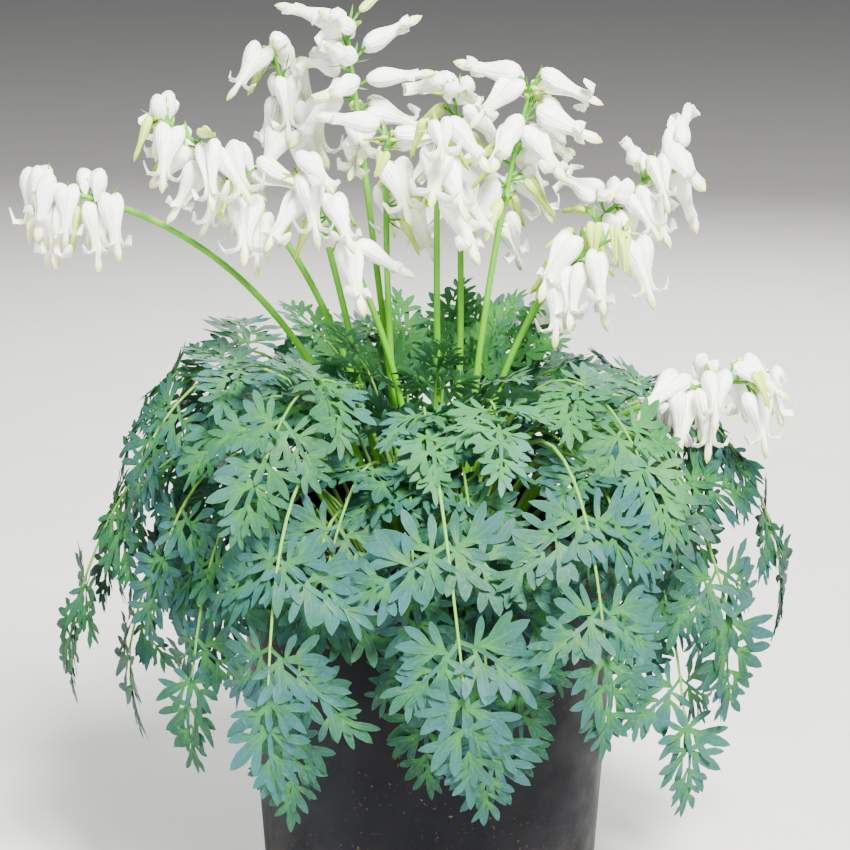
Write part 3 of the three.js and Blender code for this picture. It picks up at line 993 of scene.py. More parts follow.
@dataclass
class LeafletForm:
    """A fine leaflet, worked out once in its own plane and laid on many seats.

    Crease and arch are shares of a lobe's half width, the bow and the places where it is widest and
    starts to close are shares of its length, and the other sizes are shares of the leaflet's length.
    """

    kind: LeafletKind
    seed: int
    crease: float = 0.09
    arch: float = 0.02
    ripple: float = 0.012
    ripples: float = 1.2
    thickness: float = 0.008
    thinning: float = 0.6
    bow: float = 0.07
    widest: float = 0.66
    close_from: float = 0.6
    close_power: float = 2.9
    blunt: float = 0.03
    rib_width: float = 0.045
    rib_base: float = 0.9
    rib_before: float = 0.03
    rib_past_end_fan: float = 0.08
    fan_shift: Span = (-0.03, 0.04)
    surface: Surface = field(init=False)

    SIDE_FANS = {
        LeafletKind.FINE: (
            Fan(0.10, 55, 0.5, *FIVE), Fan(0.31, 48, 0.46, *FOUR), Fan(0.52, 41, 0.35, *THREE),
        ),
        LeafletKind.BROAD: (Fan(0.11, 52, 0.58, *FIVE), Fan(0.38, 43, 0.47, *THREE)),
        LeafletKind.SIMPLE: (Fan(0.15, 50, 0.56, *FOUR), Fan(0.4, 42, 0.42, *THREE)),
    }
    END_FANS = {
        LeafletKind.FINE: Fan(0.64, 0, 0.38, *FIVE),
        LeafletKind.BROAD: Fan(0.52, 0, 0.5, *FIVE),
        LeafletKind.SIMPLE: Fan(0.52, 0, 0.48, *FIVE),
    }
    STATIONS = np.array([0, 0.24, 0.48, 0.71, 0.9, 1.0])
    ACROSS = np.array([-1, -0.5, 0, 0.5, 1, 0])  # four edges and the vein above, then the vein below

    def __post_init__(self) -> None:
        """Work out the rib and the lobes of every fan."""
        rng = np.random.default_rng(self.seed)
        end = self.END_FANS[self.kind]
        start = np.array([-self.rib_before, 0.0])
        stop = np.array([end.root + self.rib_past_end_fan, 0.0])
        lobes = [Lobe(start, stop, self.rib_width, base=self.rib_base)]
        for fan in self.SIDE_FANS[self.kind]:
            for side in (1, -1):
                shifted = replace(fan, root=fan.root + rng.uniform(*self.fan_shift))
                lobes += shifted.lobes(side, rng)
        lobes += end.lobes(1, rng)
        self.surface = joined([self._lobe(lobe, rng) for lobe in lobes])

    def _lobe(self, lobe: Lobe, rng: Rng) -> Surface:
        """One lobe as a thin closed blade.

        Its half width grows as a sine to its widest at two thirds and closes as a power curve to a
        blunt point. Across, it is a low arch with a crease along its vein. Along, it bows by a sine and
        its edges ripple.

        Args:
            lobe: the lobe.
            rng: the draws.

        Returns:
            The blade, as shares of the leaflet's length.
        """
        s = self.STATIONS
        way = lobe.tip - lobe.root
        length = np.linalg.norm(way)
        direction = way / length
        left = np.array([-direction[1], direction[0]])
        bow = rng.uniform(-self.bow, self.bow) * length * np.sin(np.pi * s)
        middle = lobe.root + np.outer(s, way) + np.outer(bow, left)
        swell = lobe.base + (1 - lobe.base) * np.sin(0.5 * np.pi * np.minimum(1, s / self.widest))
        closing = np.maximum(0, (s - self.close_from) / (1 - self.close_from))
        close = np.maximum(self.blunt, 1 - closing**self.close_power)
        half = 0.5 * lobe.width * swell * close
        v = self.ACROSS
        top = -self.arch * v * v - self.crease * (v == 0)
        height = top[None] * half[:, None]
        wave = np.sin(2 * np.pi * (self.ripples * s + rng.uniform()))
        height = height + self.ripple * wave[:, None] * v[None] * (s * (1 - s) * 4)[:, None]
        height = height + (lobe.lift * length * s * s)[:, None] + lobe.roll * (length * s)[:, None]
        height[:, -1] -= self.thickness * (1 - self.thinning * s)
        flat = middle[:, None] + left[None, None] * (v[None, :, None] * half[:, None, None])
        points = np.dstack([flat, height[..., None]]).reshape(-1, 3)
        growth = np.zeros((len(s), len(v), 4))
        growth[..., 0] = 1 - np.abs(v)[None]
        growth[..., 1] = s[:, None]
        growth[:, -1, 0] = 0
        return Surface(points, ring_faces(len(s), len(v), outward=False), growth.reshape(-1, 4))

    def on(self, seat: Seat, tone: float, young: float) -> Surface:
        """This leaflet laid on a seat.

        Args:
            seat: the place, length and bend.
            tone: light and dark, from 0 to 1.
            young: how fresh a green it has, from 0 to 1, kept as half the kind value.

        Returns:
            The leaflet in space.
        """
        placed = self.surface.moved(seat.place(self.surface.points * seat.length), tone)
        placed.growth[:, 3] = 0.5 * young
        return placed


@dataclass
class Foliage:
    """All the fronds: those that stand for the solids and those that fill in behind them.

    About half of the low fronds have broad leaflets. A leaflet's tone differs from its frond's, and a
    frond may be less or more young than its tier.
    """

    material: Material
    forms: dict[LeafletKind, list[LeafletForm]] = field(init=False)
    seed: int = 5
    variants: int = 6
    variant_seed_step: int = 10
    petiole_sides: int = 6
    petiole_steps: int = 22
    petiole_foot: float = 1.05
    petiole_end: float = 0.5
    petiole_overlap: float = 2.0
    broad_share: float = 0.5
    tones: Span = (0.1, 0.9)
    leaf_tone: float = 0.2
    less_young: float = 0.15
    more_young: float = 0.3

    FIRST_SEEDS = {LeafletKind.FINE: 34, LeafletKind.BROAD: 32, LeafletKind.SIMPLE: 31}
    FILLERS = (
        Tier(
            "fill_low", count=11, turn=-96, ring=27, seed=523, blade=84, leaflet=38, rise=(64, 206),
            over=(104, 208), tip=(122, 98), spread=8, lift=12, young=0.15, free=0.4, rear=16,
            some_broad=True,
        ),
        Tier(
            "fill_middle", count=12, turn=-85, ring=22, seed=641, blade=84, leaflet=38, rise=(54, 226),
            over=(114, 236), tip=(132, 136), spread=10, lift=14, young=0.15, free=0.4, rear=6,
        ),
        Tier(
            "fill_top", count=12, turn=-95, ring=16, seed=757, blade=76, leaflet=35, rise=(30, 222),
            over=(72, 252), tip=(110, 190), spread=12, lift=12, young=0.5, free=0.4,
        ),
        Tier(
            "fill_crown", count=8, turn=-95, ring=12, seed=863, blade=60, leaflet=30, rise=(22, 208),
            over=(46, 246), tip=(84, 208), spread=14, lift=10, young=0.5, free=0.4,
        ),
    )

    def __post_init__(self) -> None:
        """Work out a few leaflets of each cut."""
        seeds = self.variant_seed_step * np.arange(self.variants)
        self.forms = {
            kind: [LeafletForm(kind, first + int(seed)) for seed in seeds]
            for kind, first in self.FIRST_SEEDS.items()
        }

    @staticmethod
    def _cut(broad: bool, seat: Seat) -> LeafletKind:
        """How a leaflet is cut: small ones are simple.

        Args:
            broad: whether the frond has broad leaflets.
            seat: the leaflet's seat.

        Returns:
            The cut.
        """
        if seat.plan is not LOBES:
            return LeafletKind.SIMPLE
        return LeafletKind.BROAD if broad else LeafletKind.FINE

    def _frond(self, frond: Frond, young: float, rng: Rng) -> Surface:
        """One frond: a petiole that thins to its end, and its leaflets.

        Args:
            frond: its layout.
            young: how fresh a green it has, from 0 to 1.
            rng: the draws.

        Returns:
            The whole frond.
        """
        points = frond.route.sample(self.petiole_steps, 0, frond.end + self.petiole_overlap)
        radii = np.linspace(self.petiole_foot, self.petiole_end, self.petiole_steps)
        tone = rng.uniform(*self.tones)
        parts = [tube(points, radii, self.petiole_sides, 1.0, tone)]
        broad = frond.tier.some_broad and rng.uniform() < self.broad_share
        for seat in frond.seats:
            kind = self._cut(broad, seat)
            form = self.forms[kind][rng.integers(self.variants)]
            leaf_tone = tone + rng.uniform(-self.leaf_tone, self.leaf_tone)
            parts.append(form.on(seat, float(np.clip(leaf_tone, 0, 1)), young))
        return joined(parts)

    def build(self) -> Pieces:
        """Make a piece for each node of leaves, then the pieces that fill in.

        Returns:
            The pieces.
        """
        rng = np.random.default_rng(self.seed)
        pieces = []
        for tier in (TUFTS, *TIERS):
            for index in range(tier.count):
                node = f"tuft_{index + 1:02d}" if tier is TUFTS else f"{tier.name}_frond_{index + 1:02d}"
                fronds = fronds_of(node, tier, index)
                young = tier.young + rng.uniform(-self.less_young, self.more_young)
                young = float(np.clip(young, 0, 1))
                surface = joined([self._frond(frond, young, rng) for frond in fronds])
                piece = make_piece(f"leaf_{node}", surface, self.material)
                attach(piece, "root")
                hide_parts(node)
                pieces.append(piece)
        for tier in self.FILLERS:
            fronds = [Frond(tier, draw_lie(tier, index, 0)) for index in range(tier.count)]
            surface = joined([self._frond(frond, tier.young, rng) for frond in fronds])
            piece = make_piece(f"leaves_{tier.name}", surface, self.material)
            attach(piece, "root")
            pieces.append(piece)
        return pieces


# ---- Blooms ----


class BloomState(Enum):
    """How far a bloom is out."""

    OPEN = "open"
    BUD = "bud"


@dataclass
class BloomForm:
    """A fine bloom: two pouched outer petals with turned-back tips, and the inner petals' tongue.

    Each row of a table is a station along a petal, as shares of the bloom's length: the centre across
    and along, then the half thickness in the heart's plane and out of it.
    """

    state: BloomState
    curl: float = 1.0
    ruffle: float = 0.028
    ruffle_rate: float = 2.4
    flute: float = 0.12
    flutes: int = 4
    flute_run: int = 4
    sides: int = 12
    bend: float = 0.1
    surface: Surface = field(init=False)

    POUCH = np.array([
        (0.108, -0.050, 0.012, 0.012), (0.114, -0.040, 0.068, 0.064), (0.120, 0.000, 0.112, 0.110),
        (0.121, 0.090, 0.134, 0.150), (0.110, 0.190, 0.124, 0.158), (0.088, 0.300, 0.096, 0.136),
        (0.066, 0.410, 0.068, 0.106), (0.054, 0.520, 0.050, 0.082), (0.058, 0.620, 0.040, 0.080),
        (0.090, 0.700, 0.030, 0.084), (0.155, 0.738, 0.021, 0.084), (0.228, 0.718, 0.015, 0.082),
        (0.290, 0.650, 0.012, 0.070), (0.320, 0.580, 0.007, 0.034),
    ])
    SHUT = np.array([
        (0.070, -0.020, 0.010, 0.010), (0.074, -0.010, 0.052, 0.052), (0.076, 0.040, 0.084, 0.090),
        (0.074, 0.130, 0.094, 0.112), (0.064, 0.230, 0.082, 0.106), (0.050, 0.340, 0.062, 0.086),
        (0.040, 0.450, 0.048, 0.068), (0.034, 0.550, 0.040, 0.056), (0.032, 0.650, 0.038, 0.052),
        (0.030, 0.740, 0.036, 0.050), (0.024, 0.820, 0.030, 0.042), (0.016, 0.880, 0.020, 0.028),
        (0.008, 0.930, 0.006, 0.008),
    ])
    WAIST = 7  # the last station of the pouch's neck, past which the petal turns back
    STRETCH = ((0.8, 0.96, 0.82), (0.98, 1.0, 1.02))  # least and most: across, along and out
    TONGUE = np.array([
        (0.0, 0.36, 0.020, 0.030), (0.0, 0.48, 0.046, 0.060), (0.0, 0.60, 0.050, 0.066),
        (0.0, 0.70, 0.042, 0.060), (0.0, 0.78, 0.050, 0.074), (0.0, 0.86, 0.058, 0.076),
        (0.0, 0.94, 0.042, 0.050), (0.0, 1.00, 0.006, 0.008),
    ])

    def __post_init__(self) -> None:
        """Work out both outer petals and, on an open bloom, the tongue."""
        table = (self.POUCH if self.state is BloomState.OPEN else self.SHUT).copy()
        if self.state is BloomState.OPEN:
            waist = table[self.WAIST, :2].copy()
            table[self.WAIST :, :2] = waist + self.curl * (table[self.WAIST :, :2] - waist)
        parts = [self._petal(table, 1, 0.0), self._petal(table, -1, 0.0)]
        if self.state is BloomState.OPEN:
            parts.append(self._petal(self.TONGUE, 1, 1.0))
        self.surface = joined(parts)

    def _petal(self, table: Array, side: int, kind: float) -> Surface:
        """An ellipse carried along the table's centres, square to their path, mirrored for side -1.

        The flutes deepen from the crown down, as a cosine of their number times the angle round. Past
        the waist the ribbon's edges ripple by a sine of the station.

        Args:
            table: the petal's stations.
            side: 1 or -1.
            kind: the growth value that tells the tongue from the outer petals.

        Returns:
            The petal, as shares of the bloom's length.
        """
        centre = table[:, :2]
        way = unit(np.gradient(centre, axis=0))
        square = np.stack([-way[:, 1], way[:, 0]], axis=1)
        angle = 2 * np.pi * np.arange(self.sides) / self.sides
        station = np.arange(len(table))
        deep = self.flute * np.clip((station - 1) / self.flute_run, 0, 1)
        fluted = 1 + deep[:, None] * np.cos(self.flutes * angle)[None]
        inner, outer = table[:, 2:3] * fluted, table[:, 3:4] * fluted
        ripple = np.sin(angle)[None] ** 2 * np.sin(self.ruffle_rate * station)[:, None]
        thick = np.cos(angle)[None] * inner
        thick = thick + self.ruffle * (station > self.WAIST)[:, None] * ripple
        flat = centre[:, None] + square[:, None] * thick[..., None]
        proud = np.sin(angle)[None] * outer
        points = np.dstack([flat, proud[..., None]]).reshape(-1, 3) * [side, 1, 1]
        growth = np.zeros((len(table), self.sides, 4))
        growth[..., 0] = 0.5 + 0.5 * np.cos(angle)[None]
        growth[..., 1] = np.linspace(0, 1, len(table))[:, None]
        growth[..., 3] = kind
        faces = ring_faces(len(table), self.sides, outward=side > 0)
        return Surface(points, faces, growth.reshape(-1, 4))

    def on(self, bloom: Bloom, rng: Rng) -> Surface:
        """This bloom hung in its place, a little stretched and bent one way or another.

        The bend moves a point sideways by a share of the square of its way along.

        Args:
            bloom: the bloom's place.
            rng: the draws.

        Returns:
            The bloom in space.
        """
        length = BLOOM_LENGTH * bloom.size
        wide = np.cross(bloom.axis, bloom.face)
        stretch = rng.uniform(*self.STRETCH)
        u, v, w = (self.surface.points * stretch).T
        bend = rng.uniform(-self.bend, self.bend, 2)
        u, w = u + bend[0] * v * v, w + bend[1] * v * v
        points = np.outer(u, wide) + np.outer(v, bloom.axis) + np.outer(w, bloom.face)
        return self.surface.moved(bloom.start + length * points, rng.uniform(0, 1))


@dataclass
class Racemes:
    """The flower stems with their pedicels and bracts, and the blooms that they bear.

    Besides the solids' blooms there is an extra share, and a stem's lowest hang a little below its
    raceme. The kind values of buds and tip buds say how green they are. A pedicel's two handles are
    shares of its reach, and a tip bud leans by shares of the ways out, along the stem and up.
    """

    stem_material: Material
    petal_material: Material
    seed: int = 23
    scape_sides: int = 10
    scape_end: float = 0.8
    raceme_foot: float = 0.78
    raceme_end: float = 0.5
    stalk_tones: Span = (0.3, 0.7)
    pedicel_sides: int = 6
    pedicel_bends: int = 9
    pedicel_foot: float = 0.5
    pedicel_end: float = 0.62
    handle_out: float = 0.55
    handle_in: float = 0.45
    notch: float = 0.07
    bract_sides: int = 6
    bract_bends: int = 6
    bract_half: float = 0.9
    bract_start: float = 0.12
    bract_run: float = 0.86
    bract_curl: float = 0.25
    bract_thickness: float = 0.25
    bract_leans: tuple[float, ...] = (0.5, -0.6)
    bract_swing: float = 70.0
    bract_lengths: Span = (5, 11)
    bract_tone: float = 0.7
    tip_buds: int = 5
    tip_buds_from: float = 0.9
    tip_buds_run: float = 0.1
    tip_bud_lean: Triple = (0.7, 0.4, -0.3)
    tip_bud_off: float = 1.5
    tip_bud_sizes: Span = (0.22, 0.36)
    tip_bud_kind: float = 0.6
    extra_share: float = 0.6
    extra_crowd: float = 0.45
    extra_seed: int = 500
    reach_down: float = 0.25
    bud_kind: float = 0.45
    curls: tuple[float, ...] = (0.75, 0.95, 1.1, 1.2)

    def _pedicel(self, bloom: Bloom) -> Surface:
        """A thin stalk, a cubic that leaves the stem outwards and bends over into the heart's notch.

        Args:
            bloom: the bloom that hangs on it.

        Returns:
            The stalk.
        """
        end = bloom.start + bloom.axis * self.notch * BLOOM_LENGTH
        reach = np.linalg.norm(end - bloom.foot)
        before = bloom.foot + bloom.out * self.handle_out * reach
        after = end - bloom.axis * self.handle_in * reach
        t = np.linspace(0, 1, self.pedicel_bends)[:, None]
        points = (1 - t) ** 3 * bloom.foot + 3 * t * (1 - t) ** 2 * before
        points = points + 3 * t * t * (1 - t) * after + t**3 * end
        radii = np.linspace(self.pedicel_foot, self.pedicel_end, self.pedicel_bends)
        return tube(points, radii, self.pedicel_sides, 1.0)

    def _bract(self, foot: Array, out: Array, length: float) -> Surface:
        """A narrow blade beside a pedicel's foot: a flat ellipse whose width is a sine of the way along.

        It curls up by the square of the way along.

        Args:
            foot: where it leaves the stem.
            out: the unit direction that it heads for.
            length: its length.

        Returns:
            The bract.
        """
        bends, sides = self.bract_bends, self.bract_sides
        t = np.linspace(0, 1, bends)
        side = unit(np.cross(out, UP + 0.01))
        lift = np.cross(side, out)
        centre = foot + np.outer(t * length, out) + np.outer(self.bract_curl * length * t * t, lift)
        half = self.bract_half * np.sin(np.pi * (self.bract_start + self.bract_run * t))
        angle = 2 * np.pi * np.arange(sides) / sides
        ring = side * np.cos(angle)[:, None]
        rings = centre[:, None] + ring[None] * half[:, None, None]
        proud = (np.sin(angle)[:, None] * lift)[None] * self.bract_thickness
        rings = rings + proud * half[:, None, None]
        growth = np.zeros((bends, sides, 4))
        growth[..., 1] = t[:, None]
        growth[..., 2] = self.bract_tone
        growth[..., 3] = 1.0
        return Surface(rings.reshape(-1, 3), ring_faces(bends, sides), growth.reshape(-1, 4))

    def _tip_buds(self, raceme: Route, form: BloomForm, rng: Rng) -> Surface:
        """The last small green buds, crowded at the raceme's end.

        Args:
            raceme: the stretch that they end.
            form: the shape of a bud.
            rng: the draws.

        Returns:
            The buds.
        """
        parts, lean = [], self.tip_bud_lean
        for k in range(self.tip_buds):
            share = self.tip_buds_from + self.tip_buds_run * k / self.tip_buds
            point, along = raceme.spot(raceme.length * share)
            side = unit(np.cross(along, UP))
            out = rotated(side, along, GOLDEN * k)
            axis = unit(lean[0] * out + lean[1] * along + lean[2] * UP)
            face = unit(np.cross(axis, side - lean[2] * UP))
            start = point + self.tip_bud_off * out
            bloom = Bloom(point, out, start, axis, face, False, rng.uniform(*self.tip_bud_sizes))
            parts.append(form.on(bloom, rng))
        surface = joined(parts)
        surface.growth[:, 3] = self.tip_bud_kind
        return surface

    def build(self) -> Pieces:
        """Make two pieces for each flower stem: the green one and the blooms.

        Returns:
            The pieces.
        """
        rng = np.random.default_rng(self.seed)
        forms = {
            BloomState.OPEN: [BloomForm(BloomState.OPEN, curl) for curl in self.curls],
            BloomState.BUD: [BloomForm(BloomState.BUD)],
        }
        routes = [stem_routes(stem) for stem in STEMS]
        room = BloomRoom(routes)
        hung = [
            room.hang(k, route.raceme, stem.blooms, stem.seed, CROWD)
            for k, (stem, route) in enumerate(zip(STEMS, routes))
        ]
        for k, (stem, route) in enumerate(zip(STEMS, routes)):
            below = route.scape.length - self.reach_down * route.raceme.length
            lower = Route(np.vstack([route.scape.sample(4, below), route.raceme.points[1:]]))
            extra = round(self.extra_share * stem.blooms)
            hung[k] += room.hang(k, lower, extra, stem.seed + self.extra_seed, self.extra_crowd)
        pieces = []
        for k, (route, blooms) in enumerate(zip(routes, hung)):
            number = f"{k + 1:02d}"
            pieces.append(self._stalk(number, route, blooms, rng))
            pieces.append(self._spray(number, route, blooms, forms, rng))
        return pieces

    def _stalk(self, number: str, route: StemRoutes, blooms: list[Bloom], rng: Rng) -> Piece:
        """A stem's green piece: its scape and raceme as one tapering tube, with pedicels and bracts.

        Args:
            number: the stem's number in the names.
            route: its two stretches.
            blooms: what it bears.
            rng: the draws.

        Returns:
            The piece.
        """
        scape, raceme = route.scape.points, route.raceme.points[1:]
        thin, thinnest = self.raceme_foot * SCAPE_RADIUS, self.raceme_end * RACEME_RADIUS
        radii = np.concatenate([
            np.linspace(1.0, self.scape_end, len(scape)) * SCAPE_RADIUS,
            np.linspace(thin, thinnest, len(raceme)),
        ])
        tone = rng.uniform(*self.stalk_tones)
        green = [tube(np.vstack([scape, raceme]), radii, self.scape_sides, 1.0, tone)]
        green += [self._pedicel(bloom) for bloom in blooms]
        for bloom in blooms:
            for lean in self.bract_leans:
                turn = rng.uniform(-self.bract_swing, self.bract_swing)
                out = unit(rotated(bloom.out, UP, turn) + lean * UP)
                green.append(self._bract(bloom.foot, out, rng.uniform(*self.bract_lengths)))
        piece = make_piece(f"stalk_{number}", joined(green), self.stem_material)
        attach(piece, "root")
        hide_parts(f"flower_stem_{number}")
        return piece

    def _spray(
        self, number: str, route: StemRoutes, blooms: list[Bloom],
        forms: dict[BloomState, list[BloomForm]], rng: Rng,
    ) -> Piece:
        """A stem's blooms and its last small buds as one piece.

        Args:
            number: the stem's number in the names.
            route: its two stretches.
            blooms: what it bears.
            forms: the shapes to choose from.
            rng: the draws.

        Returns:
            The piece.
        """
        white = []
        for bloom in blooms:
            choices = forms[BloomState.OPEN if bloom.is_open else BloomState.BUD]
            part = choices[rng.integers(len(choices))].on(bloom, rng)
            if not bloom.is_open:
                part.growth[:, 3] = self.bud_kind
            white.append(part)
        white.append(self._tip_buds(route.raceme, forms[BloomState.BUD][0], rng))
        piece = make_piece(f"blooms_{number}", joined(white), self.petal_material)
        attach(piece, "root")
        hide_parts(f"raceme_{number}")
        return piece


# ---- Pot and soil ----


def lathe(profile: Array, sides: int) -> Surface:
    """A closed profile turned about the pot's axis.

    Each profile point (r, z) becomes a circle, and the last circle is joined to the first. A profile
    that goes up the outside and down the inside gives faces that point outwards.

    Args:
        profile: the points, one row each.
        sides: points in each circle.

    Returns:
        The closed surface.
    """
    angle = 2 * np.pi * np.arange(sides) / sides
    radius, height = profile.T
    x = radius[:, None] * np.cos(angle)[None]
    y = radius[:, None] * np.sin(angle)[None]
    z = np.repeat(height[:, None], sides, axis=1)
    points = np.dstack([x, y, z]).reshape(-1, 3)
    i, j = np.meshgrid(np.arange(len(profile)), np.arange(sides), indexing="ij")
    after, beside = (i + 1) % len(profile), (j + 1) % sides
    quads = np.stack([i * sides + j, i * sides + beside, after * sides + beside, after * sides + j], -1)
    return Surface(points, [quads.reshape(-1, 4)], np.zeros((len(points), 4)))


def rounded_profile(corners: list[Triple], steps: int = 4) -> Array:
    """A closed outline whose corners are each rounded by a quadratic curve.

    Args:
        corners: each corner's two coordinates and how far from it the curve starts.
        steps: steps in each curve.

    Returns:
        The outline's points, one row each.
    """
    points = np.array([corner[:2] for corner in corners], float)
    cut = np.array([corner[2] for corner in corners])[:, None]
    start = points + unit(np.roll(points, 1, axis=0) - points) * cut
    end = points + unit(np.roll(points, -1, axis=0) - points) * cut
    t = np.linspace(0, 1, steps + 1)[None, :, None]
    curve = (1 - t) ** 2 * start[:, None] + 2 * t * (1 - t) * points[:, None] + t * t * end[:, None]
    return curve.reshape(-1, 2)


@dataclass
class Pot:
    """A round moulded nursery pot with a rolled rim band and drain holes, in millimetres.

    A shallow groove runs round under its floor, between two distances inside the base radius.
    """

    material: Material
    height: float = 165.0
    top_radius: float = 81.0
    base_radius: float = 69.0
    wall: float = 2.0
    floor: float = 3.0
    rim_reach: float = 3.0
    rim_height: float = 13.0
    rim_slant: float = 0.4
    rim_step: float = 0.8
    groove_inner: float = 9.0
    groove_outer: float = 4.0
    groove_depth: float = 1.0
    wall_rings: tuple[float, ...] = (60.0, 120.0)
    sides: int = 120
    drain_count: int = 6
    drain_radius: float = 5.0
    drain_ring: float = 42.0
    drain_sides: int = 24
    middle: float = 0.05

    def radius_at(self, height: float) -> float:
        """The outer radius of the tapered wall at a height."""
        return self.base_radius + (self.top_radius - self.base_radius) * height / self.height

    def build(self) -> Pieces:
        """The wall and floor as one lathed shell, with the drain holes cut through.

        Returns:
            The pot's one piece.
        """
        rim_z = self.height - self.rim_height
        outer = self.top_radius + self.rim_reach
        inner_top = self.radius_at(self.height) - self.wall
        inner_floor = self.radius_at(self.floor) - self.wall
        inner, deep = self.base_radius - self.groove_inner, self.groove_depth
        beyond = self.base_radius - self.groove_outer
        profile = rounded_profile([
            (self.middle, 0.0, 0.01), (inner, 0.0, 0.6), (inner + deep, deep, 0.5),
            (beyond - deep, deep, 0.5), (beyond, 0.0, 0.6), (self.base_radius, 0.0, 1.4),
            *((self.radius_at(height), height, 1.0) for height in self.wall_rings),
            (self.radius_at(rim_z), rim_z, 0.8), (outer - self.rim_slant, rim_z + self.rim_step, 0.9),
            (outer, self.height, 1.6), (inner_top, self.height, 0.9),
            (inner_floor, self.floor, 2.5), (self.middle, self.floor, 0.01),
        ])
        shell = lathe(profile, self.sides)
        piece = make_piece("pot_shell", shell, self.material)
        holes = []
        for k in range(self.drain_count):
            centre = around(self.drain_ring, 360 * k / self.drain_count, self.floor / 2)
            ends = centre + np.outer([-self.floor, self.floor], UP)
            radii = np.full(2, self.drain_radius)
            holes.append(tube(ends, radii, self.drain_sides, 0.0))
        cutter = make_piece("drain_cutter", joined(holes), self.material)
        cut = piece.modifiers.new("drains", "BOOLEAN")
        cut.operation, cut.object, cut.solver = "DIFFERENCE", cutter, "EXACT"
        bake_modifiers(piece)
        bpy.data.objects.remove(cutter)
        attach(piece, "root")
        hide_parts("pot")
        return [piece]


def bake_modifiers(piece: Piece) -> None:
    """Replace a piece's mesh with what its modifiers make of it, and drop them.

    Args:
        piece: the piece.
    """
    bpy.context.view_layer.update()
    scene_now = bpy.context.evaluated_depsgraph_get()
    finished = bpy.data.meshes.new_from_object(piece.evaluated_get(scene_now))
    piece.modifiers.clear()
    old, piece.data = piece.data, finished
    bpy.data.meshes.remove(old)


WAVE_LENGTHS: Span = (0.6, 1.5)  # as shares of the scale


def waves(x: Array, y: Array, seed: int, count: int, scale: float) -> Array:
    """A bumpy height: the sum of sines in drawn directions, over the root of their number.

    Args:
        x: the places across.
        y: the places along.
        seed: the seed of the draws.
        count: how many sines.
        scale: the length that their waves lie near.

    Returns:
        The height at each place, from about -1 to 1.
    """
    rng = np.random.default_rng(seed)
    angle = rng.uniform(0, 2 * np.pi, count)
    rate = 2 * np.pi / (scale * rng.uniform(*WAVE_LENGTHS, count))
    phase = rng.uniform(0, 2 * np.pi, count)
    total = np.zeros_like(x)
    for a, k, p in zip(angle, rate, phase):
        total += np.sin(k * (x * np.cos(a) + y * np.sin(a)) + p)
    return total / math.sqrt(count)


